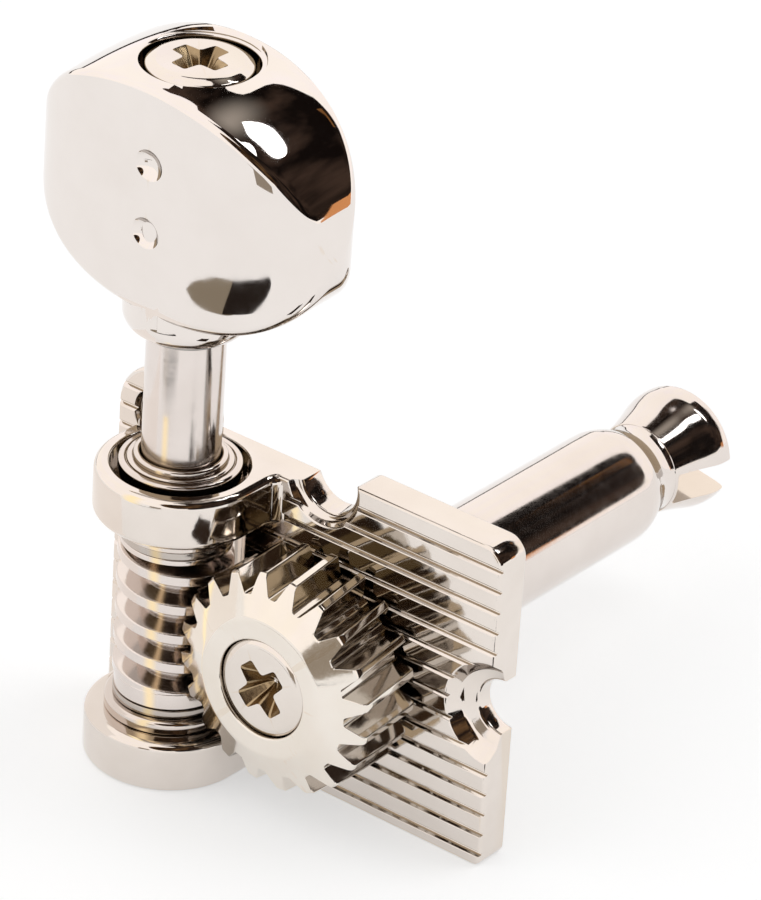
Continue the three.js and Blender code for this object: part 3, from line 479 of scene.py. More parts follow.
def plated_metal(name, bright, dull, roughness, ripple=(1.6, 4.0), lines=None, wear="#d8c3a5"):
    """Nickel plate: slow tint drift, polishing haze, soft ripples and, on turned work, tool rings.

    ripple is its length in mm and height in micrometres; lines is the axis, spacing and height.
    """
    material, tree = blank_material(name)
    where = add(tree, "TexCoord").outputs["Object"]
    drift = add(tree, "TexNoise", {
        "Vector": where, "Scale": 1 / (3.2 * MM), "Detail": 3.0, "Roughness": 0.55,
    })
    tint = add(tree, "Mix", {"Factor": drift, "A": linear(bright), "B": linear(dull)}, data_type="RGBA")
    edge = add(tree, "NewGeometry").outputs["Pointiness"]
    worn = add(tree, "MapRange", {"Value": edge, "From Min": 0.56, "From Max": 0.66, "To Max": 0.25})
    colour = add(tree, "Mix", {"Factor": worn, "A": tint, "B": linear(wear)}, data_type="RGBA")
    haze = add(tree, "TexNoise", {
        "Vector": where, "Scale": 1 / (0.5 * MM), "Detail": 6.0, "Roughness": 0.7,
    })
    polish = add(tree, "MapRange", {
        "Value": haze, "From Min": 0.3, "From Max": 0.75,
        "To Min": roughness * 0.75, "To Max": roughness * 1.5,
    })
    ripples = add(tree, "TexNoise", {"Vector": where, "Scale": 1 / (ripple[0] * MM)})
    relief = add(tree, "Bump", {"Height": ripples, "Distance": ripple[1] * 1e-6})
    if lines:
        axis, spacing, height = lines
        along = add(tree, "SeparateXYZ", {"Vector": where}).outputs[axis]
        rings = add(tree, "TexNoise", {
            "W": along, "Scale": 1 / (spacing * MM), "Detail": 3.0, "Roughness": 0.6,
        }, noise_dimensions="1D")
        relief = add(tree, "Bump", {
            "Height": rings, "Distance": height * 1e-6,
            "Normal": relief,
        })
    shader = add(tree, "BsdfPrincipled", {
        "Base Color": colour, "Roughness": polish,
        "Metallic": 1.0, "Normal": relief,
    })
    add(tree, "OutputMaterial", {"Surface": shader})
    return material


# Bright nickel over a polished die casting: mirror sharp, with the slight waviness of buffed zinc
CAST_PLATE = plated_metal("nickel_plate_on_casting", "#ece4dd", "#ddd3ca", 0.07, (0.8, 4.5))
# Bright nickel over a hand-polished knob: the clearest mirror, with long soft swells
KNOB_PLATE = plated_metal("mirror_nickel_on_knob", "#ece5e0", "#e4dcd6", 0.028, (2.4, 1.1))
# Nickel over turned steel: a softer mirror, drawn out by fine turning rings round the stem
SHAFT_PLATE = plated_metal(
    "nickel_on_turned_steel", "#e9e0db", "#dad0c9", 0.13, (1.8, 1.6), ("Z", 0.14, 0.25),
)
# Nickel over a turned brass post: bright, with faint turning rings and a warm cast at the edges
POST_PLATE = plated_metal(
    "nickel_on_turned_brass", "#e9e1db", "#dcd2cb", 0.075, (1.8, 1.6), ("Y", 0.14, 0.12),
)
# Nickel over a cut brass wheel: bright and warmer, with small waves left by the cutter
GEAR_PLATE = plated_metal("nickel_on_cut_brass", "#f2ebe3", "#e4dacd", 0.08, (0.7, 3.0))
# Nickel over a pressed screw head: mirror bright and slightly dished
SCREW_PLATE = plated_metal("nickel_on_pressed_steel", "#ebe3dc", "#dcd2c8", 0.055, (0.8, 2.2))
# Nickel over the turned bush: bright steps with fine rings
BUSH_PLATE = plated_metal("nickel_on_bush", "#e6dcd5", "#d4c9c1", 0.085, (1.2, 1.6), ("Z", 0.12, 0.15))
# Painted shade inside a cross recess: a tan and broken tone, far darker than the plate, stands in for the
# shade and dim reflections in the hollow, with bright specks from fine bumps
RECESS_PAINTED_SHADE = plated_metal("painted_shade_in_recess", "#cdb48e", "#6f5940", 0.2, (0.25, 7.0), None, "#e6d8bd")
# Smooth ground washer steel: grey, with a satin sheen
THRUST_STEEL = plated_metal("smooth_washer_steel", "#cbc3bc", "#b4aaa2", 0.16, (0.6, 1.0))
# Hardened spring steel with a film of oil: darker and softer than the plate
SPRING_STEEL = plated_metal("oiled_spring_steel", "#b9b6b2", "#9c9892", 0.28, (0.7, 1.4), None, "#cfccc8")


def finish(piece, material, body, node, sharp=32.0):
    """Material, smooth shading with crisp edges, and the piece's place in the part"""
    piece.data.materials.clear()
    piece.data.materials.append(material)
    piece.data.shade_smooth()
    piece.data.set_sharp_from_angle(angle=radians(sharp))
    weigh = piece.modifiers.new("weigh", "WEIGHTED_NORMAL")
    weigh.keep_sharp = True
    settle(piece)
    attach(piece, body)
    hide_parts(node)


# Base plate
def arc(centre, radius, start, end, steps):
    return [
        (centre[0] + radius * cos(turn), centre[1] + radius * sin(turn))
        for turn in spread(start, end, steps)
    ]


def plate_outline():
    """The flat seen from the front, in X and Z"""
    lug_right = LUG_X + LUG_RADIUS
    notch_left = TOP_NOTCH[0] - TOP_NOTCH_RADIUS
    notch_right = TOP_NOTCH[0] + TOP_NOTCH_RADIUS
    points = [(PLATE_LEFT, PLATE_BOTTOM)]
    low_corner = (PLATE_RIGHT - PLATE_LOWER_ROUND, PLATE_BOTTOM + PLATE_LOWER_ROUND)
    points += arc(low_corner, PLATE_LOWER_ROUND, -pi / 2, 0, 12)
    points += arc((PLATE_RIGHT, SIDE_NOTCH_Z), SIDE_NOTCH_RADIUS, -pi / 2, -3 * pi / 2, 40)
    cut_x, cut_z = PLATE_RIGHT - PLATE_CORNER_CUT, PLATE_TOP - PLATE_CORNER_CUT
    points += soften([
        (PLATE_RIGHT, cut_z - 1), (PLATE_RIGHT, cut_z, 0.95),
        (cut_x, PLATE_TOP, 0.95), (cut_x - 1, PLATE_TOP),
    ])
    notch_corner = (notch_right + PLATE_CORNER_RADIUS, PLATE_TOP - PLATE_CORNER_RADIUS)
    points += arc(notch_corner, PLATE_CORNER_RADIUS, pi / 2, pi, 10)
    fall = -pi + asin((TOP_NOTCH[1] - EAR_TOP) / TOP_NOTCH_RADIUS)
    points += arc(TOP_NOTCH, TOP_NOTCH_RADIUS, 0, fall, 36)
    points += [(notch_left, EAR_TOP), (lug_right, EAR_TOP)]
    points += arc((LUG_X, LUG_Z), LUG_RADIUS, 0, pi, 56)
    clean = []
    for point in points:
        if not clean or (Vector(point) - Vector(clean[-1])).length > 1e-3:
            clean.append(point)
    return clean


def ear_outline(inset):
    radius = EAR_RADIUS - inset
    fillet = EAR_FILLET + inset
    flare_x = EAR_RADIUS + EAR_FILLET
    flare_y = FRONT_Y - EAR_FILLET + 0.02 - WORM_Y
    flare = [(flare_x, -0.3 - WORM_Y)]
    flare += arc((flare_x, flare_y), fillet, pi / 2, pi, 12)
    nose = arc((0, 0), radius, pi, TAU, 96)
    return [(-x, y) for x, y in flare] + nose + flare[::-1]


def ear(low, high):
    """An ear with rounded ends, from its outline at each height"""
    turns = spread(0, pi / 2, 8)
    levels = [(EAR_ROUNDING * (1 - cos(turn)), EAR_ROUNDING * (1 - sin(turn))) for turn in turns]
    heights = [(low + rise, inset) for rise, inset in levels]
    heights += [(high - rise, inset) for rise, inset in reversed(levels)]
    return stacked("ear", [[on_worm(x, y, z) for x, y in ear_outline(inset)] for z, inset in heights])


def ears():
    return [ear(UPPER_EAR_BOTTOM, EAR_TOP), ear(PLATE_BOTTOM, LOWER_EAR_TOP)]


def groove_cutter(z, left, right):
    """A vee with rolled lips, cut along X"""
    half = GROOVE_WIDTH / 2
    lip = 0.09
    top = FRONT_Y - 0.004
    outline = soften([
        (z - half - lip, FRONT_Y - OVERRUN), (z - half - lip, top), (z - half, top, lip * 2),
        (z, FRONT_Y + GROOVE_DEPTH, 0.05),
        (z + half, top, lip * 2), (z + half + lip, top), (z + half + lip, FRONT_Y - OVERRUN),
    ])
    return prism("groove", outline, left, right, lambda u, v, w: (w, v, u))


def sink_cutter(x, z, hole, sink, depth):
    """A dished countersink and its hole, with rolled lips"""
    wall = hole + 0.003
    profile = soften([
        (0, FRONT_Y - 0.02), (sink + 0.3, FRONT_Y - 0.02), (sink + 0.3, FRONT_Y - 0.005),
        (sink, FRONT_Y - 0.005, 0.16), (sink - 0.42 * (sink - hole), FRONT_Y + 0.76 * depth, 0.6),
        (wall, FRONT_Y + depth, 0.25), (wall, OVERRUN), (0, OVERRUN),
    ])
    return turned("sink", profile, lambda a, b, c: (x + a, c, z + b), sides=SMALL_SIDES)


def base_plate():
    outline = plate_outline()
    slab = prism("base_plate_casting", outline, FRONT_Y, 0, lambda u, v, w: (u, w, v))
    with opened(slab.data) as shell:
        rim = [
            edge for edge in shell.edges
            if abs(edge.verts[0].co.y - edge.verts[1].co.y) < SEAM
            and any(len(face.verts) > 6 for face in edge.link_faces)
        ]
        bmesh.ops.bevel(
            shell, geom=rim, offset=PLATE_EDGE_ROUND * MM, segments=4, profile=0.5, affect="EDGES",
        )
    carve(slab, ears(), "UNION")
    flat_grooves = groove_cutter(GROOVE_FIRST_Z, PLATE_LEFT - OVERRUN, PLATE_RIGHT + OVERRUN)
    sizes = {"Groove Count": GROOVE_COUNT, "Groove Pitch": GROOVE_PITCH * MM}
    tree, given = size_tree("groove_rows", sizes)
    down = add(tree, "Math", {0: given["Groove Pitch"], 1: -1.0}, operation="MULTIPLY")
    drop = add(tree, "CombineXYZ", {"Z": down})
    rows = add(tree, "GeometryNodeMeshLine", {"Count": given["Groove Count"], "Offset": drop})
    copies = add(tree, "GeometryNodeInstanceOnPoints", {"Points": rows, "Instance": given["Shape"]})
    grow(flat_grooves, tree, copies, sizes, CAST_PLATE)
    carve(flat_grooves, ears())
    lug_right = LUG_X + LUG_RADIUS + OVERRUN
    lug_groove = groove_cutter(GROOVE_FIRST_Z + GROOVE_PITCH, PLATE_LEFT - OVERRUN, lug_right)
    carve(slab, [flat_grooves, lug_groove])
    bore, sink, sink_floor = BUSH_RADIUS + SEAT_GAP, BUSH_SINK_RADIUS, EAR_TOP - BUSH_SINK_DEPTH
    journal, sunk = POST_JOURNAL_RADIUS + RUNNING_GAP, POST_RADIUS + POST_SINK_GAP
    carve(slab, [
        rod(TROUGH_RADIUS, LOWER_EAR_TOP, UPPER_EAR_BOTTOM, on_worm),
        turned("bore", soften([
            (0, UPPER_EAR_BOTTOM - OVERRUN), (bore, UPPER_EAR_BOTTOM - OVERRUN), (bore, sink_floor),
            (sink, sink_floor), (sink, EAR_TOP, 0.14), (sink + 0.3, EAR_TOP + 0.001),
            (sink + 0.3, EAR_TOP + OVERRUN), (0, EAR_TOP + OVERRUN),
        ]), on_worm),
        rod(LOWER_SLEEVE_RADIUS + SEAT_GAP, PLATE_BOTTOM - OVERRUN, LOWER_EAR_TOP + OVERRUN, on_worm),
        turned("post_bore", [
            (0, FRONT_Y - OVERRUN), (journal, FRONT_Y - OVERRUN), (journal, -POST_SINK_DEPTH),
            (sunk, -POST_SINK_DEPTH), (sunk, OVERRUN), (0, OVERRUN),
        ], lambda x, y, z: (x, z, y)),
        rod(LUG_HOLE_RADIUS, FRONT_Y - OVERRUN, OVERRUN, on_lug, SMALL_SIDES),
        sink_cutter(LUG_X, LUG_Z, LUG_HOLE_RADIUS, LUG_SINK_RADIUS, LUG_SINK_DEPTH),
        sink_cutter(*TOP_NOTCH, TOP_NOTCH_RADIUS, TOP_SINK_RADIUS, TOP_SINK_DEPTH),
        sink_cutter(PLATE_RIGHT, SIDE_NOTCH_Z, SIDE_NOTCH_RADIUS, SIDE_SINK_RADIUS, SIDE_SINK_DEPTH),
    ])
    return slab


finish(base_plate(), CAST_PLATE, "housing", "base_plate", 24.0)


# Bushes and washers
def ring(name, corners, place):
    return turned(name, soften(corners, True), place, True)


def upper_bush():
    bore, step, collar = STEM_RADIUS + RUNNING_GAP, BUSH_STEP_RADIUS, BUSH_COLLAR_RADIUS
    seat, top = EAR_TOP - BUSH_SINK_DEPTH + SEAT_GAP, UPPER_BUSH_TOP
    return ring("upper_bush_turned", [
        (bore, UPPER_BUSH_BOTTOM), (BUSH_RADIUS, UPPER_BUSH_BOTTOM, 0.1), (BUSH_RADIUS, seat),
        (BUSH_FLANGE_RADIUS, seat), (BUSH_FLANGE_RADIUS, top - 0.1, 0.22), (step, top - 0.1, 0.1),
        (step - 0.04, top - 0.2, 0.04), (step - 0.08, top - 0.2, 0.03), (step - 0.1, top, 0.14),
        (collar + 0.02, top, 0.06), (collar, top - 0.06, 0.03),
        (collar - 0.02, top + BUSH_COLLAR_HEIGHT, 0.15), (bore, top + BUSH_COLLAR_HEIGHT, 0.12),
    ], on_worm)


def lower_bush():
    bore = JOURNAL_RADIUS + RUNNING_GAP
    return ring("lower_bush_turned", [
        (bore, LOWER_SLEEVE_BOTTOM), (LOWER_SLEEVE_RADIUS, LOWER_SLEEVE_BOTTOM, 0.15),
        (LOWER_SLEEVE_RADIUS, LOWER_BUSH_BOTTOM), (LOWER_FLANGE_RADIUS, LOWER_BUSH_BOTTOM, 0.08),
        (LOWER_FLANGE_RADIUS, LOWER_BUSH_TOP, 0.25), (bore, LOWER_BUSH_TOP),
    ], on_worm)


finish(upper_bush(), BUSH_PLATE, "housing", "upper_worm_bush")
finish(lower_bush(), BUSH_PLATE, "housing", "lower_worm_bush")


def split_ring(name, corners, gap, place):
    """A ring with its ends a little apart"""
    section = soften(corners, True)
    angles = spread(gap, TAU - gap, 90)
    return stacked(name, [[place(r * cos(a), r * sin(a), h) for r, h in section] for a in angles])


WASHER_BORE = STEM_RADIUS + 2 * RUNNING_GAP
for node, body, slot, outer, inner, low, thickness, place in (
    ("upper_thrust_washer", "housing", "thrust_washer", THRUST_RADIUS, WASHER_BORE,
     UPPER_WASHER_BOTTOM, THRUST_THICK, on_worm),
    ("lower_thrust_washer", "housing", "thrust_washer", THRUST_RADIUS, WASHER_BORE,
     LOWER_WASHER_BOTTOM, THRUST_THICK, on_worm),
    ("knob_seat_washer", "worm_and_knob", "spring_washer", SEAT_WASHER_RADIUS, SHANK_RADIUS + SEAT_GAP,
     SEAT_WASHER_BOTTOM, SEAT_WASHER_THICK, on_worm),
    ("gear_thrust_washer", "housing", "thrust_washer", GEAR_WASHER_RADIUS, POST_JOURNAL_RADIUS + RUNNING_GAP,
     FACE_GAP - FRONT_Y, GEAR_WASHER_THICK, on_post),
    ("knob_spring_washer", "worm_and_knob", "spring_washer", KNOB_SPRING_RADIUS,
     KNOB_SCREW_RADIUS + RUNNING_GAP, KNOB_SPRING_BOTTOM, KNOB_SPRING_THICK, on_worm),
    ("gear_spring_washer", "gear_and_post", "spring_washer", GEAR_SPRING_RADIUS,
     GEAR_SCREW_RADIUS + RUNNING_GAP, SEAT_GAP - GEAR_SEAT_Y, GEAR_SPRING_THICK, on_post),
):
    name = node.replace("washer", "ring")
    split = node.endswith("spring_washer")
    edge, high = 0.04 if split else 0.05, low + thickness
    section = [(inner, low, edge), (outer, low, edge), (outer, high, edge), (inner, high, edge)]
    made = split_ring(name, section, SPRING_SPLIT / outer, place) if split else ring(name, section, place)
    finish(made, THRUST_STEEL if slot == "thrust_washer" else SPRING_STEEL, body, node)


# Worm shaft
def cut_thread(blank, low, high):
    """Moves the blank's points between two heights onto the left-hand worm thread"""
    sizes = {
        "Thread Pitch": WORM_PITCH * MM, "Pitch Radius": WORM_PITCH_RADIUS * MM,
        "Root Radius": WORM_ROOT_RADIUS * MM, "Outer Radius": WORM_OUTER_RADIUS * MM,
        "Thread Width": (WORM_PITCH * THREAD_SHARE - TOOTH_BACKLASH) * MM,
        "Flank Slope": 2 * PRESSURE_TANGENT, "Edge Ease": 0.12 * MM,
        "Crest Height": (MESH_START_SHARE - 0.5) * WORM_PITCH * MM,
        "Axis X": (WORM_X + POST_AXIS_X) * MM, "Axis Y": WORM_Y * MM, "Low": low * MM, "High": high * MM,
    }
    tree, given = size_tree("worm_thread", sizes)
    values = {label: given[label] for label in sizes}
    point = add(tree, "SeparateXYZ", {"Vector": add(tree, "GeometryNodeInputPosition")})
    values.update({axis: point.outputs[axis] for axis in "XYZ"})
    for result, operation, *terms in (
        ("across", "SUBTRACT", "X", "Axis X"), ("along", "SUBTRACT", "Y", "Axis Y"),
        ("angle", "ARCTAN2", "along", "across"), ("turns", "DIVIDE", "angle", TAU),
        ("rise", "SUBTRACT", "Z", "Crest Height"), ("pitches", "DIVIDE", "rise", "Thread Pitch"),
        ("phase", "ADD", "pitches", "turns"), ("part", "PINGPONG", "phase", 0.5),
        ("away", "MULTIPLY", "part", "Thread Pitch"), ("both sides", "MULTIPLY", "away", 2.0),
        ("left over", "SUBTRACT", "Thread Width", "both sides"),
        ("climb", "DIVIDE", "left over", "Flank Slope"),
        ("flank", "ADD", "climb", "Pitch Radius"),
        ("above root", "SMOOTH_MAX", "flank", "Root Radius", "Edge Ease"),
        ("radius", "SMOOTH_MIN", "above root", "Outer Radius", "Edge Ease"),
        ("cosine", "COSINE", "angle"), ("sine", "SINE", "angle"),
        ("new across", "MULTIPLY", "cosine", "radius"), ("new along", "MULTIPLY", "sine", "radius"),
        ("new X", "ADD", "new across", "Axis X"), ("new Y", "ADD", "new along", "Axis Y"),
        ("over low", "GREATER_THAN", "Z", "Low"), ("under high", "LESS_THAN", "Z", "High"),
        ("threaded", "MULTIPLY", "over low", "under high"),
    ):
        terms = {place: values.get(term, term) for place, term in enumerate(terms)}
        values[result] = add(tree, "Math", terms, operation=operation)
    spot = add(tree, "CombineXYZ", {"X": values["new X"], "Y": values["new Y"], "Z": values["Z"]})
    cut = add(tree, "GeometryNodeSetPosition", {
        "Geometry": given["Shape"], "Selection": values["threaded"], "Position": spot,
    })
    grow(blank, tree, cut, sizes, SHAFT_PLATE)


def worm_shaft():
    lower_top = WORM_BOTTOM + WORM_LOWER_COLLAR
    upper_bottom = WORM_TOP - WORM_UPPER_COLLAR
    journal_bottom = LOWER_SLEEVE_BOTTOM + 0.3
    below = soften([
        (0, journal_bottom), (JOURNAL_RADIUS, journal_bottom, 0.2), (JOURNAL_RADIUS, WORM_BOTTOM),
        (WORM_COLLAR_RADIUS, WORM_BOTTOM, 0.08), (WORM_COLLAR_RADIUS, lower_top, 0.12),
        (WORM_ROOT_RADIUS + 0.4, lower_top),
    ])[:-1]
    above = soften([
        (WORM_ROOT_RADIUS + 0.4, upper_bottom), (WORM_COLLAR_RADIUS, upper_bottom, 0.08),
        (WORM_COLLAR_RADIUS, WORM_TOP, 0.08), (STEM_RADIUS, WORM_TOP), (STEM_RADIUS, STEM_TOP, 0.1),
        (SHANK_RADIUS, STEM_TOP), (SHANK_RADIUS, SHANK_TOP, 0.2), (0, SHANK_TOP),
    ])[1:]
    rows = [(WORM_ROOT_RADIUS, height) for height in spread(lower_top, upper_bottom, THREAD_ROWS)]
    blank = turned("worm_and_stem", below + rows + above, on_worm)
    cut_thread(blank, lower_top + 0.001, upper_bottom - 0.001)
    return blank


finish(worm_shaft(), SHAFT_PLATE, "worm_and_knob", "worm_shaft", 40.0)


# Knob
def outline_half(share, half_size, power):
    return half_size * max(0.0, 1 - abs(share) ** power) ** (1 / power)


def knob_section(share):
    """One cross-section of the grip: a rounded box with a crowned top, as (y, z) pairs"""
    depth = outline_half(share, KNOB_HALF_DEPTH, KNOB_PLAN_POWER)
    rise = outline_half(share, KNOB_RISE, KNOB_TOP_POWER)
    drop = outline_half(share, KNOB_DROP, KNOB_BOTTOM_POWER)
    top = min(KNOB_TOP_ROUND, depth, rise)
    bottom = min(KNOB_BOTTOM_ROUND, depth, drop)
    corners = (
        (depth - bottom, bottom - drop, bottom, -pi / 2), (depth - top, rise - top, top, 0),
        (top - depth, rise - top, top, pi / 2), (bottom - depth, bottom - drop, bottom, pi),
    )
    points = []
    steps = 10
    sides = 12
    for place, (y, z, radius, start) in enumerate(corners):
        points += arc((y, z), radius, start, start + pi / 2, steps)
        next_y, next_z, next_radius, next_start = corners[(place + 1) % 4]
        goal = Vector(arc((next_y, next_z), next_radius, next_start, next_start, 1)[0])
        last = Vector(points[-1])
        points += [tuple(last.lerp(goal, share)) for share in spread(0, 1, sides)[1:-1]]
    return [(y, z - KNOB_CROWN * (y / KNOB_HALF_DEPTH) ** 2 * max(0.0, z / KNOB_RISE)) for y, z in points]


def knob():
    lean = Matrix.Rotation(KNOB_LEAN, 3, "X") @ Matrix.Rotation(KNOB_LEAN, 3, "Y")

    def leaned(x, y, z):
        point = lean @ Vector((x, y + KNOB_SETBACK, z))
        return on_worm(point.x, point.y, point.z + KNOB_CENTRE_Z)

    shares = [-cos(angle) for angle in spread(0, pi, KNOB_STATIONS)[1:-1]]
    sections = [[leaned(share * KNOB_HALF_WIDTH, y, z) for y, z in knob_section(share)] for share in shares]
    left, right = [leaned(-KNOB_HALF_WIDTH, 0, 0)], [leaned(KNOB_HALF_WIDTH, 0, 0)]
    grip = stacked("knob_grip", [left] + sections + [right], False)
    dimples = []
    for height in DIMPLE_HEIGHTS:
        z = height - KNOB_CENTRE_Z
        wide = DIMPLE_RADIUS + 0.25
        face = -KNOB_HALF_DEPTH
        bowl = [(0, face - OVERRUN), (wide, face - OVERRUN), (wide, face - DIMPLE_LIP)]
        for share in spread(1, 0, 10):
            sink = DIMPLE_DEPTH * (1 - share ** 2)
            bowl.append((DIMPLE_RADIUS * share, face + sink - DIMPLE_LIP * share ** 6))
        dimples.append(turned(
            "dimple", bowl, lambda a, b, c, up=z: leaned(a, c, up + b), sides=SMALL_SIDES,
        ))
    carve(grip, dimples)
    boss = [(0, BOSS_BOTTOM), (BOSS_FOOT_RADIUS, BOSS_BOTTOM)]
    for angle in spread(0, pi / 2, 12)[1:]:
        boss.append((
            BOSS_FOOT_RADIUS + (BOSS_RADIUS - BOSS_FOOT_RADIUS) * sin(angle),
            BOSS_BOTTOM + BOSS_ROUND_HEIGHT * (1 - cos(angle)),
        ))
    boss += [(BOSS_RADIUS, KNOB_CENTRE_Z), (0, KNOB_CENTRE_Z)]
    carve(grip, [turned("boss", boss, on_worm)], "UNION")
    carve(grip, [
        rod(SHANK_RADIUS + SEAT_GAP, BOSS_BOTTOM - OVERRUN, KNOB_SEAT_Z + OVERRUN, on_worm),
        turned("recess", soften([
            (0, KNOB_SEAT_Z), (KNOB_RECESS_RADIUS, KNOB_SEAT_Z), (KNOB_RECESS_RADIUS, KNOB_RIM_Z, 0.16),
            (KNOB_RIM_RADIUS, KNOB_RIM_Z, 0.1), (KNOB_RIM_RADIUS + 0.25, KNOB_TOP + 0.2),
            (0, KNOB_TOP + 0.2),
        ]), on_worm),
    ])
    return grip


finish(knob(), KNOB_PLATE, "worm_and_knob", "knob", 30.0)


# Screws
def cross_cutter(top, turned_by, place):
    """A cross with flared arms that narrows towards its foot"""
    arm, half, flare = CROSS_LENGTH / 2, CROSS_WIDTH / 2, 0.07
    corners = []
    for quarter in range(4):
        turn = turned_by + quarter * pi / 2
        for u, v, radius in (
            (half * 1.4, -half * 1.4, 0.22), (arm, -half - flare, 0.16), (arm, half + flare, 0.16),
        ):
            corners.append((u * cos(turn) - v * sin(turn), u * sin(turn) + v * cos(turn), radius))
    outline = soften(corners, True)
    return stacked("cross", [
        [place(u * scale, v * scale, top - depth) for u, v in outline] for depth, scale in CROSS_TAPER
    ])


def screw(name, head_radius, head_thickness, edge, radius, length, top, turned_by, place):
    """A screw with a softly rounded head and a cross recess"""
    under = top - head_thickness
    tip = under - length
    profile = soften([
        (0, tip), (radius * 0.8, tip), (radius, tip + 0.3),
        (radius, under), (head_radius, under, 0.06), (head_radius, top - edge, edge * 0.7),
        (head_radius - edge * 1.5, top - 0.05, 0.8), (head_radius * 0.45, top, 2.0), (0, top),
    ])
    piece = turned(name, profile, place)
    carve(piece, [cross_cutter(top, turned_by, place)])
    return piece


def paint_recess_shade(piece, top, place):
    """Faces of the cross recess take the recess material, whose darker tone is painted shade"""
    piece.data.materials.append(RECESS_PAINTED_SHADE)
    base = placed(place(0, 0, top))
    up = (placed(place(0, 0, top + 1)) - base).normalized()
    for face in piece.data.polygons:
        offset = face.center - base
        depth = -offset.dot(up)
        across = (offset + up * depth).length
        sunk = 0.03 * MM + 0.02 * across < depth < 1.3 * MM
        if across < CROSS_REACH * MM and sunk and face.normal.dot(up) < 0.93:
            face.material_index = 1


for node, body, head, thick, edge, radius, length, top, cross_turn, place in (
    ("knob_screw", "worm_and_knob", KNOB_HEAD_RADIUS, KNOB_HEAD_THICK, 0.32,
     KNOB_SCREW_RADIUS, KNOB_SCREW_LENGTH, KNOB_HEAD_TOP, KNOB_CROSS_TURN, on_worm),
    ("gear_screw", "gear_and_post", GEAR_HEAD_RADIUS, GEAR_HEAD_THICK, 0.22,
     GEAR_SCREW_RADIUS, GEAR_SCREW_LENGTH, -GEAR_FACE_Y, GEAR_CROSS_TURN, on_post),
):
    made = screw(node + "_head", head, thick, edge, radius, length, top, cross_turn, place)
    finish(made, SCREW_PLATE, body, node, 30.0)
    # The faces inside the cross recess are painted darker, as shade
    paint_recess_shade(made, top, place)


# Gear
def tooth_outline():
    """One tooth from root to root, as evenly split (x, z) points"""
    pitch_angle = TAU / GEAR_TEETH
    middle = -MESH_START_SHARE * pitch_angle

    def at(radius, side, fillet=0):
        depth = radius - GEAR_PITCH_RADIUS
        width = WORM_PITCH * (1 - THREAD_SHARE) - TOOTH_BACKLASH - 2 * depth * PRESSURE_TANGENT
        angle = middle + side * width / 2 / radius
        return (radius * cos(angle), radius * sin(angle), fillet)

    first, last = at(GEAR_ROOT_RADIUS, -1), at(GEAR_ROOT_RADIUS, 1)
    floor_radius = GEAR_ROOT_RADIUS * cos(pitch_angle / 2 - (atan2(last[1], last[0]) - middle))
    ends = [
        (floor_radius * cos(angle), floor_radius * sin(angle))
        for angle in (middle - pitch_angle / 2, middle + pitch_angle / 2)
    ]
    rough = soften([
        ends[0], first[:2] + (0.16,), at(GEAR_PITCH_RADIUS, -1), at(GEAR_OUTER_RADIUS, -1, 0.09),
        at(GEAR_OUTER_RADIUS, 1, 0.09), at(GEAR_PITCH_RADIUS, 1), last[:2] + (0.16,), ends[1],
    ])
    even = []
    for here, ahead in zip(rough, rough[1:]):
        here, ahead = Vector(here), Vector(ahead)
        pieces = max(1, ceil((ahead - here).length / 0.09))
        even += [here.lerp(ahead, share) for share in spread(0, 1, pieces)[:-1]]
    return even + [Vector(rough[-1])]


def gear():
    outline = tooth_outline()
    twist = WORM_PITCH / (TAU * WORM_PITCH_RADIUS) / GEAR_PITCH_RADIUS
    polar = [(point.length, atan2(point.y, point.x)) for point in outline]
    recess = GEAR_HEAD_RADIUS + RUNNING_GAP
    sections = []
    face_edge = soften([
        (GEAR_BORE_RADIUS, GEAR_SEAT_Y), (recess, GEAR_SEAT_Y),
        (recess, GEAR_FACE_Y, 0.1), (GEAR_HEAD_RADIUS + 0.3, GEAR_FACE_Y),
        (GEAR_HUB_RADIUS - 0.3, GEAR_FACE_Y), (GEAR_HUB_RADIUS, GEAR_FACE_Y, 0.7),
        (GEAR_OUTER_RADIUS, GEAR_RIM_Y, 0.35), (GEAR_OUTER_RADIUS, GEAR_BACK_Y, 0.12),
        (GEAR_OUTER_RADIUS - 0.4, GEAR_BACK_Y),
    ])
    for (radius, y), (next_radius, next_y) in zip(face_edge, face_edge[1:]):
        span = hypot(next_radius - radius, next_y - y)
        outside = min(radius, next_radius) > GEAR_HUB_RADIUS - 0.2
        pieces = max(1, ceil(span / (0.08 if outside and span < 3 else 0.3))) if outside else 1
        sections += zip(spread(radius, next_radius, pieces)[:-1], spread(y, next_y, pieces))
    sections += [face_edge[-1], (GEAR_BORE_RADIUS, GEAR_BACK_Y)]

    def spot(reach, angle, y):
        return (reach * cos(angle) - POST_AXIS_X, y, reach * sin(angle))

    wheel = stacked("worm_wheel", [
        [spot(min(radius, cap), angle + twist * (y - WORM_Y), y) for radius, angle in polar]
        for cap, y in sections
    ], False, True, False)
    sizes = {"Tooth Count": GEAR_TEETH, "Axis X": POST_AXIS_X * MM, "Seam": 2 * SEAM}
    tree, given = size_tree("wheel_teeth", sizes)
    axis = add(tree, "CombineXYZ", {"X": given["Axis X"]})
    spots = add(tree, "GeometryNodeMeshLine", {
        "Count": given["Tooth Count"], "Start Location": axis, "Offset": (0, 0, 0),
    })
    share = add(tree, "Math", {0: TAU, 1: given["Tooth Count"]}, operation="DIVIDE")
    turn = add(tree, "Math", {0: add(tree, "GeometryNodeInputIndex"), 1: share}, operation="MULTIPLY")
    tilt = add(tree, "CombineXYZ", {"Y": turn})
    teeth = add(tree, "GeometryNodeInstanceOnPoints", {
        "Points": spots, "Instance": given["Shape"], "Rotation": tilt,
    })
    solid = add(tree, "GeometryNodeRealizeInstances", {"Geometry": teeth})
    joined = add(tree, "GeometryNodeMergeByDistance", {"Geometry": solid, "Distance": given["Seam"]})
    grow(wheel, tree, joined, sizes, GEAR_PLATE)
    return wheel


finish(gear(), GEAR_PLATE, "gear_and_post", "gear", 35.0)


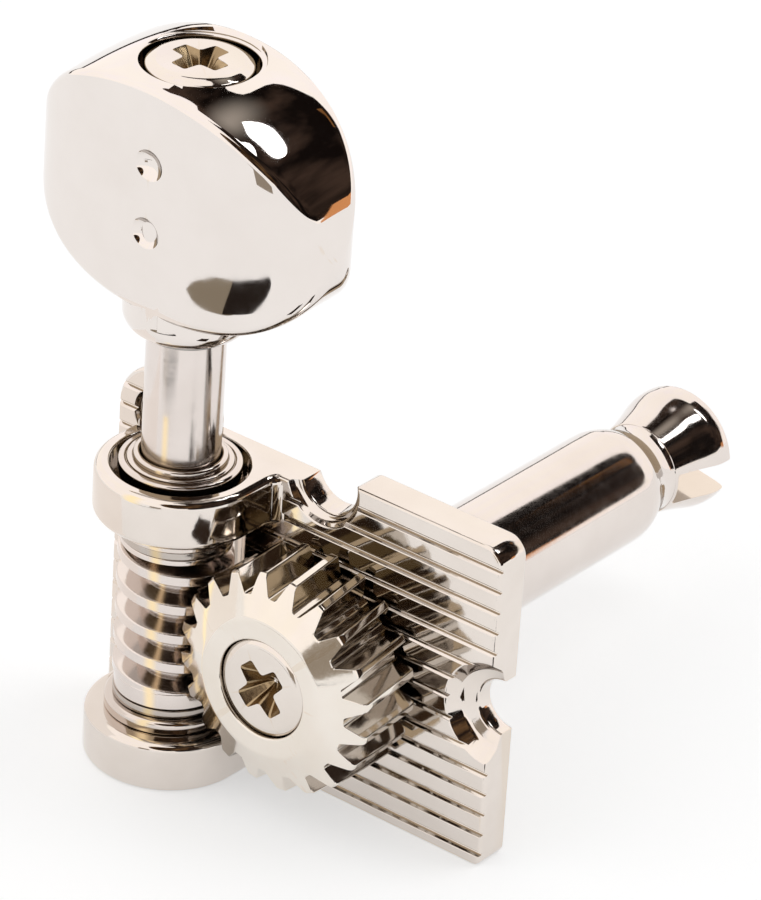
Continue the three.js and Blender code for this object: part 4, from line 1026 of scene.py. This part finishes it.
# String post
def string_post():
    shank_front = GEAR_SEAT_Y + 0.25
    journal_front = GEAR_BACK_Y + FACE_GAP
    shoulder = FACE_GAP - POST_SINK_DEPTH
    profile = soften([
        (0, shank_front), (POST_SHANK_RADIUS, shank_front, 0.1), (POST_SHANK_RADIUS, journal_front),
        (POST_JOURNAL_RADIUS, journal_front, 0.1), (POST_JOURNAL_RADIUS, shoulder),
        (POST_RADIUS, shoulder, 0.1), (POST_RADIUS, 2.0),
    ])
    profile += eased(POST_SHOULDER_CURVE, 8) + eased(POST_HEAD_CURVE, 6)
    profile += soften([
        (POST_HEAD_RADIUS, 27.32), (POST_HEAD_RADIUS, 27.84, 0.28), (2.7, POST_LENGTH, 0.3),
        (0, POST_LENGTH),
    ])
    piece = turned("string_post_turned", profile, lambda x, y, z: (x, z, y), sides=176)
    width = POST_SLOT_WIDTH / 2
    reach = POST_HEAD_RADIUS + OVERRUN
    along, across = cos(POST_SLOT_ANGLE), sin(POST_SLOT_ANGLE)
    bottom = POST_LENGTH - POST_SLOT_DEPTH
    outline = soften([
        (-width, POST_LENGTH + OVERRUN), (-width, bottom, 0.25), (width, bottom, 0.25),
        (width, POST_LENGTH + OVERRUN),
    ], True)
    carve(piece, [prism(
        "slot", outline, -reach, reach, lambda u, v, w: (w * along - u * across, v, w * across + u * along),
    )])
    round_edges(piece, 0.07, 50)
    return piece


finish(string_post(), POST_PLATE, "gear_and_post", "string_post", 32.0)


# Studio
CENTRE = Vector((-8, 4, 10))
# Later reflections fade between these ray depths
ECHO_START = 1.0
ECHO_END = 2.6
FLOOR_REACH = 1.2
FLOOR_GLOW = 0.52
TENT_RADIUS = 0.6
SKY_LIGHT = 0.5


def emitting(name, code, strength=1.0):
    material, tree = blank_material(name)
    glow = add(tree, "Emission", {"Color": linear(code), "Strength": strength})
    add(tree, "OutputMaterial", {"Surface": glow})
    return material


def fading_board(name, code, strength, middle, kept, half):
    """A glowing board that fades out away from its middle, along the axes that are kept"""
    material, tree = blank_material(name)
    away = add(tree, "TexCoord").outputs["Object"]
    for operation, other in (("SUBTRACT", Vector(middle) * MM), ("MULTIPLY", kept), ("LENGTH", (0, 0, 0))):
        away = add(tree, "VectorMath", {0: away, 1: other}, operation=operation)
    fade = add(tree, "MapRange", {
        "Value": away, "From Max": half * MM, "To Min": 1.0, "To Max": 0.0,
    }, interpolation_type="SMOOTHSTEP")
    glow = add(tree, "Emission", {"Color": linear(code), "Strength": strength})
    soft = add(tree, "MixShader", {0: fade, 1: add(tree, "BsdfTransparent"), 2: glow})
    add(tree, "OutputMaterial", {"Surface": soft})
    return material


def seen_share(tree):
    """1 for rays from the camera, off metal or through glass, and 0 for the rest"""
    ray = add(tree, "LightPath").outputs
    seen = add(tree, "Math", {0: ray["Is Camera Ray"], 1: ray["Is Glossy Ray"]}, operation="ADD")
    return add(tree, "Math", {0: seen, 1: ray["Is Transmission Ray"]}, operation="ADD")


def echo_share(tree):
    """0 in the first reflection, rising to 1 in later ones"""
    depth = add(tree, "LightPath").outputs["Ray Depth"]
    return add(tree, "MapRange", {"Value": depth, "From Min": ECHO_START, "From Max": ECHO_END})


def reflected_only(card):
    """Stage that neither the camera nor the light sees"""
    for kind in ("camera", "diffuse", "shadow", "transmission"):
        setattr(card, "visible_" + kind, False)


def stage_card(name, corners, material):
    """A card that only the polished metal sees, with its corners in millimetres"""
    mesh = bpy.data.meshes.new(name)
    mesh.from_pydata([Vector(corner) * MM for corner in corners], [], [range(len(corners))])
    mesh.materials.append(material)
    reflected_only(show(name, mesh))
    return mesh


def sky_point(azimuth, elevation, reach):
    a, e = radians(azimuth), radians(elevation)
    return CENTRE + Vector((cos(a) * cos(e), sin(a) * cos(e), sin(e))) * reach


def flowing(corners):
    """A closed outline that runs smoothly through the corners"""
    return eased(corners + corners[:1], 4)[:-1]


def disc(azimuth, elevation, radius):
    """Corners of a round sky card"""
    corners = []
    for angle in spread(0, TAU, 32)[:-1]:
        rise = radius * sin(angle)
        swing = radius * cos(angle) / cos(radians(elevation + rise))
        corners.append((azimuth + swing, elevation + rise))
    return corners


def sky_card(name, corners, material, reach=500):
    """A curved card; its corners are azimuth from +X and elevation, in degrees"""
    mesh = stage_card(name, [sky_point(*corner, reach) for corner in corners], material)
    with opened(mesh) as shell:
        bmesh.ops.triangulate(shell, faces=shell.faces, ngon_method="EAR_CLIP")
        bmesh.ops.subdivide_edges(shell, edges=shell.edges, cuts=12, use_grid_fill=True)
        for corner in shell.verts:
            corner.co = (CENTRE + (corner.co / MM - CENTRE).normalized() * reach) * MM


def floor_card(name, corners, material, lift=0.1):
    stage_card(name, [(x, y, cad_low.z / MM + lift) for x, y in corners], material)


def cloth(name, dark, light, strength=1.0, echo=1.0, echo_tone="#2a2019"):
    """Backdrop cloth with soft uneven tone; later reflections show a share of it, in another tint"""
    material, tree = blank_material(name)
    where = add(tree, "TexCoord").outputs["Object"]
    folds = add(tree, "TexNoise", {"Vector": where, "Scale": 9.0, "Detail": 3.0})
    ramp = add(tree, "MapRange", {"Value": folds, "From Min": 0.42, "From Max": 0.68})
    tone = add(tree, "Mix", {"Factor": ramp, "A": linear(dark), "B": linear(light)}, data_type="RGBA")
    bounce = echo_share(tree)
    warmed = add(tree, "Mix", {"Factor": bounce, "A": tone, "B": linear(echo_tone)}, data_type="RGBA")
    level = add(tree, "MapRange", {"Value": bounce, "To Min": strength, "To Max": strength * echo})
    shine = add(tree, "Emission", {"Color": warmed, "Strength": level})
    add(tree, "OutputMaterial", {"Surface": shine})
    return material


DARK_CLOTH = cloth("dark_studio_cloth", "#120d0b", "#40322a")
ROOM_CLOTH = cloth("dark_room_cloth", "#1d1410", "#6d5236", 1.0, 0.8)
sky_card("dark_overhead_card", flowing([
    (44, 2), (49, 8), (54, 18), (63, 30), (77, 37.5), (87, 41.5), (98, 46), (99, 56), (118, 56), (138, 52),
    (145, 58), (120, 68), (98, 76), (-75, 80), (-50, 70), (-35, 50), (-38, 20), (-38, 0), (0, 0), (30, 2),
]), DARK_CLOTH, 560)
sky_card("camera_side_card", disc(-48, 32, 24), ROOM_CLOTH, 540)
sky_card("key_softbox_card", flowing([
    (76, 62), (69, 55.5), (58, 48.5), (49.5, 42.5), (47.5, 45), (51, 51), (62, 59.5),
]), emitting("key_panel", "#fbfdff", 4.0))
sky_card("key_glow_card", disc(82, 65, 14), fading_board(
    "key_glow", "#a39b92", 1.0, sky_point(82, 65, 520), (1, 1, 1), 120,
), 520)
sky_card("head_softbox_card", flowing([
    (34, 58), (42, 54), (54, 59), (48, 69), (36, 67),
]), emitting("head_panel", "#fbfdff", 3.0))
sky_card("horizon_card", [(110, 0), (168, 0), (168, 2.4), (110, 2.4)], emitting("horizon_board", "#2e2520"))
sky_card("orange_card", [(41, 0), (45, 0), (46, 6), (42, 6)], emitting("orange_board", "#e09a63"), 520)
sky_card("brown_card", [
    (65, 33.6), (76, 39.6), (75.4, 40.8), (65, 34.8),
], emitting("brown_board", "#7d5631"), 520)
floor_card("low_dark_card", flowing([
    (-19, -49.3), (-10, -49.6), (-0.5, -48.4), (2, -46.7), (-5.6, -46.4), (-17, -45.8), (-22, -45.3),
]), emitting("dark_board", "#241d19"), 0.3)
floor_card("low_tan_card", flowing([
    (-34.7, -44.3), (-32.7, -46), (-26, -48.5), (-17, -49.3), (-18, -45.5), (-27, -44.7), (-31.9, -44.1),
]), emitting("tan_board", "#8d8271"), 0.2)
floor_card("notch_shade_card", [
    (8, -9), (19, -10), (20, -20), (9.5, -20),
], emitting("brown_shade", "#30251e"))


# Gold boards that stand before the worm and the stem and give them their warm streak
for name, middle, half, away_y, low, high in (
    ("worm_gold", -13.15, 0.72, -8.0, -5.3, 5.6), ("stem_gold", -14.1, 1.1, -9.6, 7.7, 10.2),
):
    left, right = middle - half, middle + half
    stage_card(name + "_card", [
        (left, away_y, low), (right, away_y, low), (right, away_y, high), (left, away_y, high),
    ], fading_board(name + "_board", "#fff0c8", 1.3, (middle, 0, 0), (1, 0, 0), half))
stage_card("left_white_card", [
    (-26, 8, -8.1), (-24, -20, -8.1), (-24, -20, 7), (-26, 8, 7),
], emitting("white_board", "#fffaf6"))
stage_card("front_tan_card", [
    (-10.5, -60, -8), (4, -60, -8), (5, -60, 5), (-9, -60, 6),
], emitting("tan_cloth", "#9b9082"))

# A white tent round the object, whose later reflections are dim and warm
tent = bpy.data.meshes.new("tent")
with opened(tent) as shell:
    middle = Matrix.Translation(CENTRE * MM)
    bmesh.ops.create_icosphere(shell, subdivisions=5, radius=TENT_RADIUS, matrix=middle)
    low_corners = [corner for corner in shell.verts if corner.co.z < cad_low.z + 2 * MM]
    bmesh.ops.delete(shell, geom=low_corners, context="VERTS")
tent.materials.append(cloth("white_tent", "#fffaf4", "#fdf8f9", 1.2, 0.1, "#f2d9a8"))
reflected_only(show("tent_card", tent))

floor_mesh = bpy.data.meshes.new("floor")
floor_mesh.from_pydata([
    (x * FLOOR_REACH, y * FLOOR_REACH, cad_low.z) for x, y in ((-1, -1), (1, -1), (1, 1), (-1, 1))
], [], [range(4)])
floor = show("floor", floor_mesh)
floor_material, tree = blank_material("pale_floor")
near = add(tree, "MapRange", {"Value": echo_share(tree), "To Min": FLOOR_GLOW, "To Max": 0.0})
lift = add(tree, "Math", {0: seen_share(tree), 1: near}, operation="MULTIPLY")
matt = add(tree, "BsdfDiffuse", {"Color": linear("#e6e6e6")})
glow = add(tree, "Emission", {"Strength": lift})
both = add(tree, "AddShader", {0: matt, 1: glow})
add(tree, "OutputMaterial", {"Surface": both})
floor_mesh.materials.append(floor_material)

world = bpy.data.worlds.new("white_studio")
bpy.context.scene.world = world
world.use_nodes = True
tree = world.node_tree
tree.nodes.clear()
level = add(tree, "MapRange", {"Value": seen_share(tree), "To Min": SKY_LIGHT})
back = add(tree, "Background", {"Color": (1, 1, 1, 1), "Strength": level})
add(tree, "OutputWorld", {"Surface": back})


def soft_lamp(name, towards, strength, spread):
    """A round soft light seen from the object in the given direction"""
    lamp = bpy.data.lights.new(name, "SUN")
    lamp.energy = strength
    lamp.angle = radians(spread)
    holder = show(name, lamp)
    holder.rotation_euler = Vector(towards).to_track_quat("Z", "Y").to_euler()
    holder.visible_glossy = False


soft_lamp("key_light", (0.34, 0.43, 0.84), 0.3, 30)
soft_lamp("fill_light", (-0.5, -0.6, 0.62), 0.35, 60)

# Camera
AZIMUTH = radians(36.942)
ELEVATION = radians(29.087)
ROLL = radians(3.83)
LENS = 249.5
# Millimetres to its right, up and back from the post's axis
CAMERA_PLACE = Vector((1.436, 9.307, 312.167))
right_level = Vector((cos(AZIMUTH), sin(AZIMUTH), 0))
back_way = Vector((
    sin(AZIMUTH) * cos(ELEVATION), -cos(AZIMUTH) * cos(ELEVATION), sin(ELEVATION),
))
up_level = back_way.cross(right_level)
right_way = cos(ROLL) * right_level + sin(ROLL) * up_level
up_way = -sin(ROLL) * right_level + cos(ROLL) * up_level
aim = Matrix((right_way, up_way, back_way)).transposed()
camera_data = bpy.data.cameras.new("camera")
camera_data.lens = LENS
camera_data.clip_start = 0.01
camera = show("camera", camera_data)
camera.matrix_world = Matrix.Translation(placed(aim @ CAMERA_PLACE)) @ aim.to_4x4()
bpy.context.scene.camera = camera
bpy.context.scene.view_settings.view_transform = "Standard"

bpy.context.view_layer.update()
